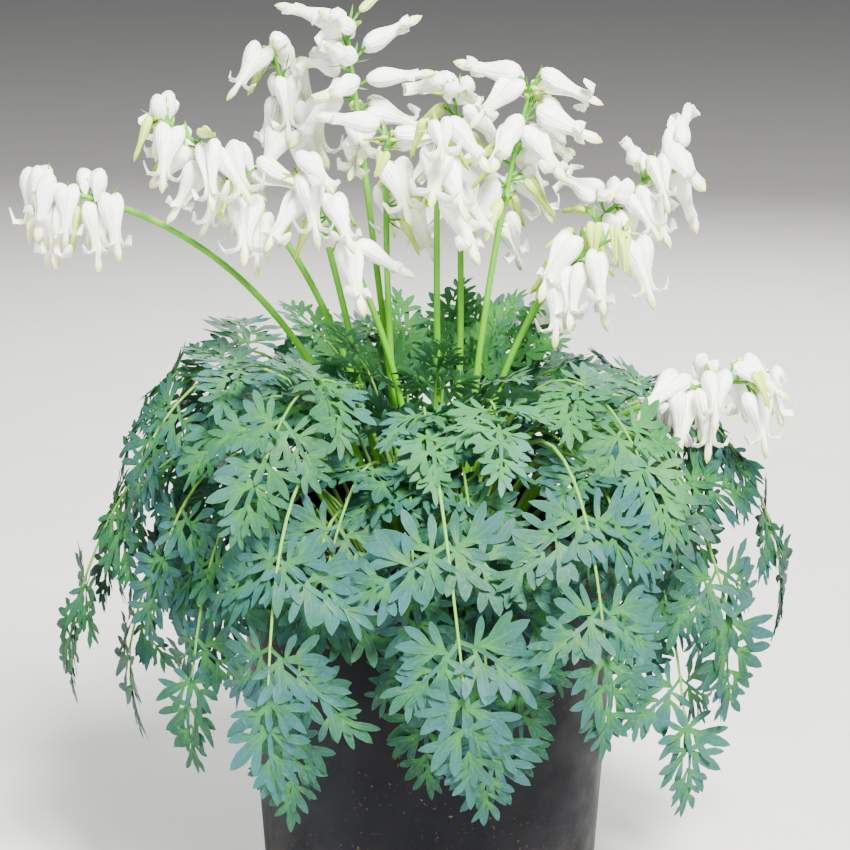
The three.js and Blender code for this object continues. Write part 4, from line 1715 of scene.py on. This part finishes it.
@dataclass
class Soil:
    """The potting mix: a crumbly crowned plug that fills the pot, and loose crumbs on it."""

    material: Material
    crumb_material: Material
    pot: Pot
    level: SoilLevel = field(default_factory=SoilLevel)
    crown: float = 1.2
    rings: int = 46
    sides: int = 120
    middle: float = 0.001
    seed: int = 11
    crumbs: int = 260
    crumb_sizes: Span = (0.9, 2.3)
    crumb_widths: Span = (0.6, 1)
    crumb_heights: Span = (0.45, 0.8)
    crumb_roughness: Span = (0.82, 1.18)
    crumb_areas: Span = (0.02, 1)
    crumb_rise: float = 0.25
    crumb_pale_power: float = 2.5
    crumb_sides: int = 6
    crumb_rings: int = 5
    crumb_pole: float = 0.12
    clear_of_wall: float = 3.0

    BUMPS = ((0.9, 2, 9, 22), (0.5, 3, 11, 9), (0.3, 4, 13, 4))  # share, seed, sines and wave length
    BUMP_HEIGHT = 0.7

    def _height(self, x: Array, y: Array) -> Array:
        """The surface: a low crown that falls by the square of the radius, with three sizes of bumps.

        Args:
            x: the places across.
            y: the places along.

        Returns:
            The height at each place.
        """
        radius = np.hypot(x, y)
        crown = self.crown * (1 - (radius / self.pot.top_radius) ** 2)
        bumps = sum(share * waves(x, y, *rule) for share, *rule in self.BUMPS)
        return self.level.top + crown + bumps * self.BUMP_HEIGHT

    def build(self) -> Pieces:
        """The plug with its bumpy top, then the crumbs.

        Returns:
            The two pieces.
        """
        top = self.level.top
        gap = self.level.gap
        radius_top = self.pot.radius_at(top) - self.pot.wall - gap
        radius_floor = self.pot.radius_at(self.pot.floor + gap) - self.pot.wall - gap
        share = np.linspace(0, 1, self.rings)
        base = self.pot.floor + gap
        under = np.array([[self.middle, base], [radius_floor, base]])
        over = np.stack([radius_top * (1 - share) + self.middle, np.full(self.rings, top)], axis=1)
        plug = lathe(np.vstack([under, over]), self.sides)
        points = plug.points.copy()
        upper = slice(2 * self.sides, None)
        points[upper, 2] = self._height(points[upper, 0], points[upper, 1])
        piece = make_piece("soil_plug", plug.moved(points), self.material)
        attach(piece, "root")
        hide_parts("soil")
        return [piece, self._scatter(radius_top)]

    def _scatter(self, reach: float) -> Piece:
        """Small rough lumps of bark and grit: a squashed ball of rings with its points pushed about.

        Args:
            reach: how far from the pot's axis the soil goes.

        Returns:
            The lumps as one piece.
        """
        rng = np.random.default_rng(self.seed)
        ball = self._lump()
        parts = []
        for _ in range(self.crumbs):
            distance = (reach - self.clear_of_wall) * math.sqrt(rng.uniform(*self.crumb_areas))
            place = around(distance, rng.uniform(0, 360), 0)
            size = rng.uniform(*self.crumb_sizes)
            width, height = rng.uniform(*self.crumb_widths), rng.uniform(*self.crumb_heights)
            size = size * np.array([1.0, width, height])
            turn = rng.uniform(0, 2 * np.pi)
            rough = ball.points * rng.uniform(*self.crumb_roughness, (len(ball.points), 1)) * size
            spun = rough @ np.array([
                [math.cos(turn), math.sin(turn), 0], [-math.sin(turn), math.cos(turn), 0], [0, 0, 1],
            ])
            place[2] = self._height(place[:1], place[1:2])[0] + self.crumb_rise * size[2]
            parts.append(ball.moved(spun + place, float(rng.uniform() ** self.crumb_pale_power)))
        piece = make_piece("soil_crumbs", joined(parts), self.crumb_material)
        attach(piece, "root")
        return piece

    def _lump(self) -> Surface:
        """A unit ball of few faces, from circles whose radius is the sine of the angle from its pole.

        Returns:
            The ball.
        """
        polar = np.linspace(self.crumb_pole, np.pi - self.crumb_pole, self.crumb_rings)
        none = np.zeros(self.crumb_rings)
        points = np.stack([none, none, -np.cos(polar)], axis=1)
        return tube(points, np.sin(polar), self.crumb_sides, 0.0)


# ---- Materials ----


def linear(red: int, green: int, blue: int) -> Rgba:
    """A linear colour from screen values, by the usual screen curve.

    Args:
        red: from 0 to 255.
        green: from 0 to 255.
        blue: from 0 to 255.

    Returns:
        The colour with its alpha.
    """
    share = np.array([red, green, blue]) / 255
    value = np.where(share <= 0.04045, share / 12.92, ((share + 0.055) / 1.055) ** 2.4)
    return (*(float(v) for v in value), 1.0)


class Nodes:
    """A short way to place and join shader nodes in one tree."""

    SHARE, ONE, OTHER, MIXED = 0, 6, 7, 2  # the Mix node's sockets where it mixes colours

    def __init__(self, tree: Tree) -> None:
        """Work in a tree."""
        self.tree = tree

    def add(
        self, kind: str, inputs: dict[str | int, object] | None = None, **settings: object,
    ) -> Node:
        """A new node.

        Args:
            kind: the node's type.
            inputs: values or other nodes' outputs for its inputs, by name or number.
            settings: its own settings.

        Returns:
            The node.
        """
        node = self.tree.nodes.new(kind)
        for name, value in settings.items():
            setattr(node, name, value)
        for name, value in (inputs or {}).items():
            self.feed(node.inputs[name], value)
        return node

    def feed(self, socket: Socket, value: object) -> None:
        """Set a socket to a value, or join another socket to it.

        Args:
            socket: the input.
            value: a constant or another node's output.
        """
        if isinstance(value, Socket):
            self.tree.links.new(value, socket)
        else:
            socket.default_value = value

    def math(self, operation: str, *values: object) -> Socket:
        """A sum, product or the like of values.

        Args:
            operation: the Math node's operation.
            values: constants or other nodes' outputs.

        Returns:
            The result.
        """
        node = self.add("ShaderNodeMath", operation=operation)
        for socket, value in zip(node.inputs, values):
            self.feed(socket, value)
        return node.outputs[0]

    def times(self, one: object, other: object) -> Socket:
        """The product of two values."""
        return self.math("MULTIPLY", one, other)

    def spread(
        self, value: object, low: float, high: float, out_low: float = 0, out_high: float = 1,
    ) -> Socket:
        """A value's range mapped by a smooth step to another, held at both ends.

        Args:
            value: the value.
            low: the value that gives out_low, which may be the greater.
            high: the value that gives out_high.
            out_low: what it starts from.
            out_high: what it ends at.

        Returns:
            The mapped value.
        """
        ends = {"From Min": low, "From Max": high, "To Min": out_low, "To Max": out_high}
        inputs = {"Value": value, **ends}
        return self.add("ShaderNodeMapRange", inputs, interpolation_type="SMOOTHSTEP").outputs[0]

    def mix(self, share: object, one: object, other: object) -> Socket:
        """Two colours mixed.

        Args:
            share: how much of the other, from 0 to 1.
            one: the colour at 0.
            other: the colour at 1.

        Returns:
            The mixed colour.
        """
        node = self.add("ShaderNodeMix", data_type="RGBA")
        self.feed(node.inputs[self.SHARE], share)
        self.feed(node.inputs[self.ONE], one)
        self.feed(node.inputs[self.OTHER], other)
        return node.outputs[self.MIXED]

    def noise(self, place: object, scale: object, detail: float = 3, rough: float = 0.5) -> Socket:
        """A noise value at a place."""
        inputs = {"Vector": place, "Scale": scale, "Detail": detail, "Roughness": rough}
        return self.add("ShaderNodeTexNoise", inputs).outputs[0]

    def stretched(self, place: object, scale: Triple) -> Socket:
        """A place stretched along the axes."""
        return self.add("ShaderNodeMapping", {"Vector": place, "Scale": scale}).outputs[0]

    def growth(self) -> tuple[Socket, Socket, Socket, Socket]:
        """The growth values of the piece's points.

        Returns:
            The vein or crown, the way along, the tone and the kind.
        """
        growth = self.add("ShaderNodeAttribute", attribute_name="growth")
        parts = self.add("ShaderNodeSeparateColor", {"Color": growth.outputs["Color"]})
        return (*parts.outputs[:3], growth.outputs["Alpha"])


def make_group(
    name: str, inputs: dict[str, tuple[str, object]], outputs: dict[str, str],
) -> tuple[Tree, Nodes, Node, Node]:
    """An empty shader node group with named sockets.

    Args:
        name: the group's name.
        inputs: each input's socket type and first value.
        outputs: each output's socket type.

    Returns:
        The group, the helper that fills it, and its input and output nodes.
    """
    group = bpy.data.node_groups.new(name, "ShaderNodeTree")
    for label, (kind, value) in inputs.items():
        socket = group.interface.new_socket(label, in_out="INPUT", socket_type=kind)
        if value is not None:
            socket.default_value = value
    for label, kind in outputs.items():
        group.interface.new_socket(label, in_out="OUTPUT", socket_type=kind)
    nodes = Nodes(group)
    return group, nodes, nodes.add("NodeGroupInput"), nodes.add("NodeGroupOutput")


FLOAT, COLOUR, VECTOR = "NodeSocketFloat", "NodeSocketColor", "NodeSocketVector"


def mottle_group() -> Tree:
    """Patches of two tones: a base colour goes towards another where a soft noise is high.

    Its output colour is the first colour mixed with the second by noise of the given size, times the
    amount, and its mask is that share.

    Returns:
        The group.
    """
    group, nodes, given, result = make_group(
        "mottle",
        {"Place": (VECTOR, None), "Size": (FLOAT, 100.0), "Amount": (FLOAT, 0.5),
         "Colour": (COLOUR, (0.5, 0.5, 0.5, 1)), "Patch": (COLOUR, (0.3, 0.3, 0.3, 1))},
        {"Colour": COLOUR, "Mask": FLOAT},
    )
    noise = nodes.noise(given.outputs["Place"], given.outputs["Size"], 4, 0.55)
    share = nodes.times(nodes.spread(noise, 0.36, 0.66), given.outputs["Amount"])
    mixed = nodes.mix(share, given.outputs["Colour"], given.outputs["Patch"])
    nodes.feed(result.inputs["Colour"], mixed)
    nodes.feed(result.inputs["Mask"], share)
    return group


def grain_group() -> Tree:
    """Fine relief: a coarse and a fine noise mixed by the coarse share, as a height from 0 to 1.

    Returns:
        The group.
    """
    group, nodes, given, result = make_group(
        "fine_grain",
        {"Place": (VECTOR, None), "Size": (FLOAT, 800.0), "Coarse": (FLOAT, 0.5)},
        {"Height": FLOAT},
    )
    fine = nodes.noise(given.outputs["Place"], given.outputs["Size"], 2)
    wider = nodes.times(given.outputs["Size"], 0.17)
    coarse = nodes.noise(given.outputs["Place"], wider, 2)
    share = given.outputs["Coarse"]
    fine_part = nodes.times(fine, nodes.math("SUBTRACT", 1.0, share))
    height = nodes.math("MULTIPLY_ADD", coarse, share, fine_part)
    nodes.feed(result.inputs["Height"], height)
    return group


@dataclass
class Effects:
    """The effects that several finishes share, each built once."""

    mottle: Tree = field(default_factory=mottle_group)
    grain: Tree = field(default_factory=grain_group)


@dataclass(frozen=True)
class Finish:
    """A finish: its name, its mean roughness and the effects that it may use."""

    name: str
    roughness: float
    effects: Effects

    def start(self) -> tuple[Material, Nodes, Node, Socket]:
        """Start the material.

        Returns:
            The new material, the helper that fills it, its shader and its Object coordinates.
        """
        material = bpy.data.materials.new(self.name)
        material.use_nodes = True
        nodes = Nodes(material.node_tree)
        shader = material.node_tree.nodes["Principled BSDF"]
        shader.inputs["Roughness"].default_value = self.roughness
        place = nodes.add("ShaderNodeTexCoord").outputs["Object"]
        return material, nodes, shader, place

    def body(
        self, shader: Node, specular: float, weight: float = 0.0, radius: Triple = (1.0, 1.0, 1.0),
        scale: float = 0.0,
    ) -> None:
        """Set how much a surface shines and how far light goes into it.

        Args:
            shader: the material's shader.
            specular: its specular level.
            weight: how much light goes in.
            radius: how far each colour goes.
            scale: the metres that a radius of 1 stands for.
        """
        shader.inputs["Specular IOR Level"].default_value = specular
        if weight > 0:
            shader.inputs["Subsurface Weight"].default_value = weight
            shader.inputs["Subsurface Radius"].default_value = radius
            shader.inputs["Subsurface Scale"].default_value = scale

    def effect(self, nodes: Nodes, tree: Tree, **inputs: object) -> Node:
        """A shared effect placed in a material.

        Args:
            nodes: the material's helper.
            tree: the effect.
            inputs: its values here.

        Returns:
            The effect's node.
        """
        node = nodes.add("ShaderNodeGroup", node_tree=tree)
        for name, value in inputs.items():
            nodes.feed(node.inputs[name], value)
        return node

    def mottled(
        self, nodes: Nodes, place: object, size: float, amount: float, colour: object, patch: object,
    ) -> Node:
        """The mottle effect between two colours."""
        given = {"Place": place, "Size": size, "Amount": amount, "Colour": colour, "Patch": patch}
        return self.effect(nodes, self.effects.mottle, **given)

    def relief(
        self, nodes: Nodes, shader: Node, height: object, strength: float, distance: float,
    ) -> None:
        """Join a height to the shader's normal through a Bump node.

        Args:
            nodes: the material's helper.
            shader: the material's shader.
            height: the height's output.
            strength: how strongly it shows.
            distance: the depth in metres that it stands for.
        """
        inputs = {"Height": height, "Strength": strength, "Distance": distance}
        bump = nodes.add("ShaderNodeBump", inputs)
        nodes.feed(shader.inputs["Normal"], bump.outputs[0])


@dataclass(frozen=True)
class LeafFinish(Finish):
    """Bloomy blue-green leaf, with paler veins and rims, fresher green where it is young, and bluer
    patches towards the lobe tips that are partly its bloom and partly a painted sheen.
    """

    old: Tones = (linear(9, 39, 36), linear(37, 81, 79))
    fresh: Tones = (linear(29, 91, 29), linear(68, 137, 56))
    stalk: Tones = (linear(74, 126, 44), linear(112, 162, 68))
    patch: Rgba = linear(25, 76, 38)
    # the blue of the lobe tips: partly the leaf's bloom, partly a painted sheen
    blue_bloom_and_sheen: Rgba = linear(46, 83, 96)
    root: Rgba = linear(50, 112, 34)
    rib: Rgba = linear(74, 128, 62)
    rim: Rgba = linear(75, 123, 86)
    dust: Rgba = linear(78, 118, 122)

    def make(self) -> Material:
        """The leaf's material.

        Returns:
            The material, filled.
        """
        material, nodes, shader, place = self.start()
        vein, along, tone, kind = nodes.growth()
        young = nodes.spread(kind, 0.0, 0.5)
        stalk = nodes.spread(kind, 0.6, 0.9)
        blade = nodes.mix(young, nodes.mix(tone, *self.old), nodes.mix(tone, *self.fresh))
        patched = self.mottled(nodes, place, 60.0, 0.5, blade, self.patch)
        # painted highlight: in noise patches the lobes turn bluer towards their tips, partly the leaf's
        # blue bloom and partly the sheen that lit convex tips show
        chance = nodes.spread(nodes.noise(place, 26.0, 2), 0.46, 0.6)
        blue_bloom_and_sheen = nodes.times(nodes.times(chance, nodes.spread(along, 0.1, 0.7)), 0.42)
        bloom_and_sheen_coloured = nodes.mix(blue_bloom_and_sheen, patched.outputs["Colour"], self.blue_bloom_and_sheen)
        root = nodes.times(nodes.spread(along, 0.6, 0.0), 0.65)
        rooted = nodes.mix(root, bloom_and_sheen_coloured, self.root)
        rib = nodes.times(nodes.spread(vein, 0.8, 1.0), nodes.spread(along, 1.0, 0.1))
        ribbed = nodes.mix(nodes.times(rib, 0.45), rooted, self.rib)
        rim = nodes.times(nodes.spread(vein, 0.14, 0.0), 0.22)
        rimmed = nodes.mix(rim, ribbed, self.rim)
        dust = nodes.spread(nodes.noise(place, 650.0, 4, 0.65), 0.45, 0.75, 0, 0.2)
        bloomy = nodes.mix(dust, rimmed, self.dust)
        coloured = nodes.mix(stalk, bloomy, nodes.mix(tone, *self.stalk))
        nodes.feed(shader.inputs["Base Color"], coloured)
        rough = nodes.spread(nodes.noise(place, 300.0), 0.3, 0.7, 0.5, 0.66)
        nodes.feed(shader.inputs["Roughness"], rough)
        self.body(shader, 0.16, 0.06, (0.6, 1.0, 0.35), 0.0015)
        grain = self.effect(nodes, self.effects.grain, Place=place, Size=1400.0, Coarse=0.6)
        self.relief(nodes, shader, grain.outputs[0], 0.35, 0.0004)
        return material


@dataclass(frozen=True)
class StemFinish(Finish):
    """Smooth green stem, lighter towards its raceme, with fine lengthwise lines."""

    green: Tones = (linear(46, 112, 12), linear(84, 158, 24))
    light: Rgba = linear(106, 178, 36)
    patch: Rgba = linear(66, 136, 24)

    def make(self) -> Material:
        """The stem's material.

        Returns:
            The material, filled.
        """
        material, nodes, shader, place = self.start()
        _, along, tone, _ = nodes.growth()
        base = nodes.mix(nodes.spread(along, 0.0, 0.6), *self.green)
        toned = nodes.mix(nodes.times(tone, 0.4), base, self.light)
        patched = self.mottled(nodes, place, 60.0, 0.3, toned, self.patch)
        nodes.feed(shader.inputs["Base Color"], patched.outputs["Colour"])
        nodes.feed(shader.inputs["Roughness"], nodes.spread(patched.outputs["Mask"], 0, 0.3, 0.38, 0.52))
        self.body(shader, 0.25, 0.06, (0.6, 1.0, 0.3), 0.0015)
        lines = nodes.noise(nodes.stretched(place, (1.0, 1.0, 0.06)), 2200.0, 2)
        self.relief(nodes, shader, lines, 0.25, 0.0003)
        return material


@dataclass(frozen=True)
class PetalFinish(Finish):
    """Waxy white petal, cream-green at the pouch's neck and turned-back tip, partly its own tint and
    partly painted shade of that hollow, and greener on buds and at the inner petals' tip.
    """

    white: Tones = (linear(252, 253, 246), linear(255, 255, 253))
    patch: Rgba = linear(238, 243, 214)
    pink: Rgba = linear(248, 224, 222)
    green: Rgba = linear(208, 226, 138)
    # the neck's cream-green: partly the petal's own tint, partly painted shade and light through the
    # petal
    cream_and_painted_shade: Rgba = linear(224, 235, 164)
    bud: Tones = (linear(198, 222, 104), linear(158, 196, 44))
    tongue: Tones = (linear(252, 252, 232), linear(216, 226, 124))

    def make(self) -> Material:
        """The petal's material.

        Returns:
            The material, filled.
        """
        material, nodes, shader, place = self.start()
        crown, along, tone, kind = nodes.growth()
        white = nodes.mix(tone, *self.white)
        patched = self.mottled(nodes, place, 120.0, 0.4, white, self.patch)
        top = nodes.times(nodes.spread(along, 0.16, 0.0), nodes.spread(tone, 0.3, 1.0))
        blush = nodes.times(top, 0.25)
        pinked = nodes.mix(blush, patched.outputs["Colour"], self.pink)
        green = nodes.times(nodes.spread(along, 0.2, 0.0), nodes.spread(tone, 0.6, 0.1))
        greened = nodes.mix(nodes.times(green, 0.45), pinked, self.green)
        # painted shade: the neck and turned-back tip go cream-green, partly the petal's own tint and
        # partly the shaded, lit-through look of that hollow
        waist = nodes.times(nodes.spread(along, 0.45, 0.62), nodes.spread(along, 0.86, 0.68))
        cream_and_shade_coloured = nodes.mix(nodes.times(waist, 0.45), greened, self.cream_and_painted_shade)
        outer = nodes.math("SUBTRACT", 1.0, nodes.spread(kind, 0.7, 0.95))
        bud = nodes.times(nodes.spread(kind, 0.05, 0.42), outer)
        young = nodes.mix(nodes.spread(along, 0.1, 0.9), *self.bud)
        budded = nodes.mix(bud, cream_and_shade_coloured, young)
        inner = nodes.spread(kind, 0.8, 1.0)
        tongue = nodes.mix(nodes.spread(along, 0.45, 1.0), *self.tongue)
        coloured = nodes.mix(inner, budded, tongue)
        nodes.feed(shader.inputs["Base Color"], coloured)
        rough = nodes.spread(nodes.noise(place, 400.0), 0.3, 0.7, 0.42, 0.56)
        nodes.feed(shader.inputs["Roughness"], rough)
        self.body(shader, 0.5, 0.15, (1.0, 0.95, 0.75), 0.003)
        lines = nodes.math("SINE", nodes.times(crown, 34.0))
        crumple = nodes.noise(place, 260.0, 3)
        relief = nodes.math("ADD", nodes.times(lines, 0.16), crumple)
        self.relief(nodes, shader, relief, 0.5, 0.0012)
        return material


@dataclass(frozen=True)
class PotFinish(Finish):
    """Moulded charcoal plastic: fine pebbling, rubbed marks, dust and dried splashes of soil."""

    plastic: Tones = (linear(6, 8, 14), linear(12, 15, 23))
    rubbed: Rgba = linear(44, 48, 55)
    dust: Rgba = linear(96, 84, 66)
    fleck: Rgba = linear(112, 92, 68)

    def make(self) -> Material:
        """The pot's material.

        Returns:
            The material, filled.
        """
        material, nodes, shader, place = self.start()
        height = nodes.add("ShaderNodeSeparateXYZ", {"Vector": place}).outputs[2]
        base = self.mottled(nodes, place, 26.0, 0.6, *self.plastic)
        worn = nodes.spread(nodes.noise(nodes.stretched(place, (1, 1, 5)), 90.0, 5, 0.7), 0.6, 0.74)
        rubbed = nodes.mix(nodes.times(worn, 0.3), base.outputs["Colour"], self.rubbed)
        low = nodes.spread(height, 0.05, 0.0)
        rim = nodes.spread(height, 0.148, 0.163)
        film = nodes.math("MAXIMUM", low, nodes.times(rim, 0.7))
        blotch = nodes.spread(nodes.noise(place, 70.0, 6, 0.7), 0.44, 0.64)
        dust = nodes.times(nodes.times(film, blotch), 0.5)
        dusty = nodes.mix(dust, rubbed, self.dust)
        specks = nodes.spread(nodes.noise(place, 520.0, 2), 0.66, 0.72)
        spread = nodes.spread(nodes.noise(place, 22.0, 2), 0.45, 0.7)
        flecks = nodes.times(nodes.times(specks, spread), 0.8)
        speckled = nodes.mix(flecks, dusty, self.fleck)
        nodes.feed(shader.inputs["Base Color"], speckled)
        rough = nodes.spread(nodes.noise(place, 45.0, 5, 0.6), 0.3, 0.7, 0.46, 0.66)
        nodes.feed(shader.inputs["Roughness"], rough)
        self.body(shader, 0.14)
        grain = self.effect(nodes, self.effects.grain, Place=place, Size=1500.0, Coarse=0.35)
        self.relief(nodes, shader, grain.outputs[0], 0.4, 0.0003)
        return material


@dataclass(frozen=True)
class SoilFinish(Finish):
    """Dark peat mix with paler grit, and pale crumbs where there is a share of them."""

    pale_share: float = 0.0
    peat: Tones = (linear(44, 32, 24), linear(74, 54, 38))
    grit: Rgba = linear(150, 136, 112)
    pale: Rgba = linear(176, 166, 148)

    def make(self) -> Material:
        """The soil's material.

        Returns:
            The material, filled.
        """
        material, nodes, shader, place = self.start()
        base = self.mottled(nodes, place, 120.0, 0.9, *self.peat)
        cells = nodes.add("ShaderNodeTexVoronoi", {"Vector": place, "Scale": 420.0})
        draw = nodes.add("ShaderNodeSeparateColor", {"Color": cells.outputs["Color"]}).outputs[0]
        grit = nodes.times(nodes.spread(draw, 0.9, 0.94), 0.7)
        flecked = nodes.mix(grit, base.outputs["Colour"], self.grit)
        _, _, tone, _ = nodes.growth()
        pale = nodes.times(nodes.spread(tone, 0.3, 0.8), self.pale_share)
        coloured = nodes.mix(pale, flecked, self.pale)
        nodes.feed(shader.inputs["Base Color"], coloured)
        nodes.feed(shader.inputs["Roughness"], nodes.spread(base.outputs["Mask"], 0, 0.9, 0.95, 0.8))
        grain = self.effect(nodes, self.effects.grain, Place=place, Size=900.0, Coarse=0.5)
        self.relief(nodes, shader, grain.outputs[0], 0.9, 0.0012)
        return material


# ---- Studio ----


@dataclass(frozen=True)
class Lamp:
    """A square soft light: its place and side in metres, its watts and its colour."""

    name: str
    place: Triple
    side: float
    watts: float
    warmth: Triple


LAMPS = (
    Lamp("key_light", (0.45, -1.2, 1.6), 0.5, 212, (1.0, 0.985, 0.96)),
    Lamp("fill_light", (-1.3, -0.9, 0.7), 1.0, 18, (0.95, 0.98, 1.0)),
    Lamp("back_light", (0.3, 1.4, 1.2), 1.0, 50, (1.0, 1.0, 1.0)),
)


@dataclass
class Studio:
    """A pale floor, soft lights and the camera, in metres.

    The floor's top, underside and middle are in millimetres, as its profile is.
    """

    target: Triple = (-0.002, 0.0, 0.205)
    distance: float = 1.3
    elevation: float = 12.0
    sensor: float = 36.0
    width_at_target: float = 0.3542
    floor_reach: float = 9.0
    floor_top: float = -0.4
    floor_under: float = -8.0
    floor_middle: float = 0.1
    floor_sides: int = 96
    floor_tones: Tones = (linear(206, 205, 201), linear(214, 213, 210))
    floor_roughness: float = 0.75
    air: Rgba = (0.93, 0.95, 1.0, 1.0)
    air_strength: float = 0.17

    def _floor(self) -> None:
        """A wide round plate whose top is just under the pot."""
        reach, middle = self.floor_reach / MM, self.floor_middle
        top, under = self.floor_top, self.floor_under
        profile = np.array([(middle, under), (reach, under), (reach, top), (middle, top)])
        material = bpy.data.materials.new("pale_floor")
        material.use_nodes = True
        nodes = Nodes(material.node_tree)
        shader = material.node_tree.nodes["Principled BSDF"]
        place = nodes.add("ShaderNodeTexCoord").outputs["Object"]
        shade = nodes.mix(nodes.noise(place, 14.0, 4), *self.floor_tones)
        nodes.feed(shader.inputs["Base Color"], shade)
        shader.inputs["Roughness"].default_value = self.floor_roughness
        floor = make_piece("floor", lathe(profile, self.floor_sides), material)

    def _light(self, lamp: Lamp) -> None:
        """Set up a light that is aimed at the target.

        Args:
            lamp: the light.
        """
        light = bpy.data.lights.new(lamp.name, "AREA")
        light.energy, light.size, light.color = lamp.watts, lamp.side, lamp.warmth
        stand = bpy.data.objects.new(lamp.name, light)
        bpy.context.scene.collection.objects.link(stand)
        stand.location = lamp.place
        aim = Vector(self.target) - Vector(lamp.place)
        stand.rotation_euler = aim.to_track_quat("-Z", "Y").to_euler()

    def _air(self) -> None:
        """An even world light."""
        world = bpy.data.worlds.new("studio_air")
        world.use_nodes = True
        sky = world.node_tree.nodes["Background"]
        sky.inputs[0].default_value = self.air
        sky.inputs[1].default_value = self.air_strength
        bpy.context.scene.world = world

    def _camera(self) -> None:
        """The camera, which takes in the width at the target."""
        lens = bpy.data.cameras.new("camera")
        lens.sensor_width = self.sensor
        lens.lens = self.sensor * self.distance / self.width_at_target
        camera = bpy.data.objects.new("camera", lens)
        bpy.context.scene.collection.objects.link(camera)
        lift = math.radians(self.elevation)
        offset = Vector((0, -self.distance * math.cos(lift), self.distance * math.sin(lift)))
        camera.location = Vector(self.target) + offset
        camera.rotation_euler = (-offset).to_track_quat("-Z", "Y").to_euler()
        bpy.context.scene.camera = camera

    def build(self) -> None:
        """The floor, the lights, the world and the camera."""
        self._floor()
        for lamp in LAMPS:
            self._light(lamp)
        self._air()
        self._camera()


def main() -> None:
    """Build the studio, the pot, the soil, the leaves and the flowers, and log each piece's faces."""
    logging.basicConfig(level=logging.INFO, format="%(name)s: %(message)s")
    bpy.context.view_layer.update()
    Studio().build()
    effects = Effects()
    leaf = LeafFinish("glaucous_leaf", 0.58, effects).make()
    stem = StemFinish("flower_stem_green", 0.45, effects).make()
    petal = PetalFinish("waxy_petal", 0.5, effects).make()
    plastic = PotFinish("charcoal_plastic", 0.45, effects).make()
    peat = SoilFinish("peat_mix", 0.9, effects).make()
    crumb = SoilFinish("bark_and_grit", 0.9, effects, 0.9).make()
    pot = Pot(plastic)
    for part in (pot, Soil(peat, crumb, pot), Foliage(leaf), Racemes(stem, petal)):
        for piece in part.build():
            LOG.info("%s has %d faces", piece.name, len(piece.data.polygons))


if __name__ == "__main__":
    main()
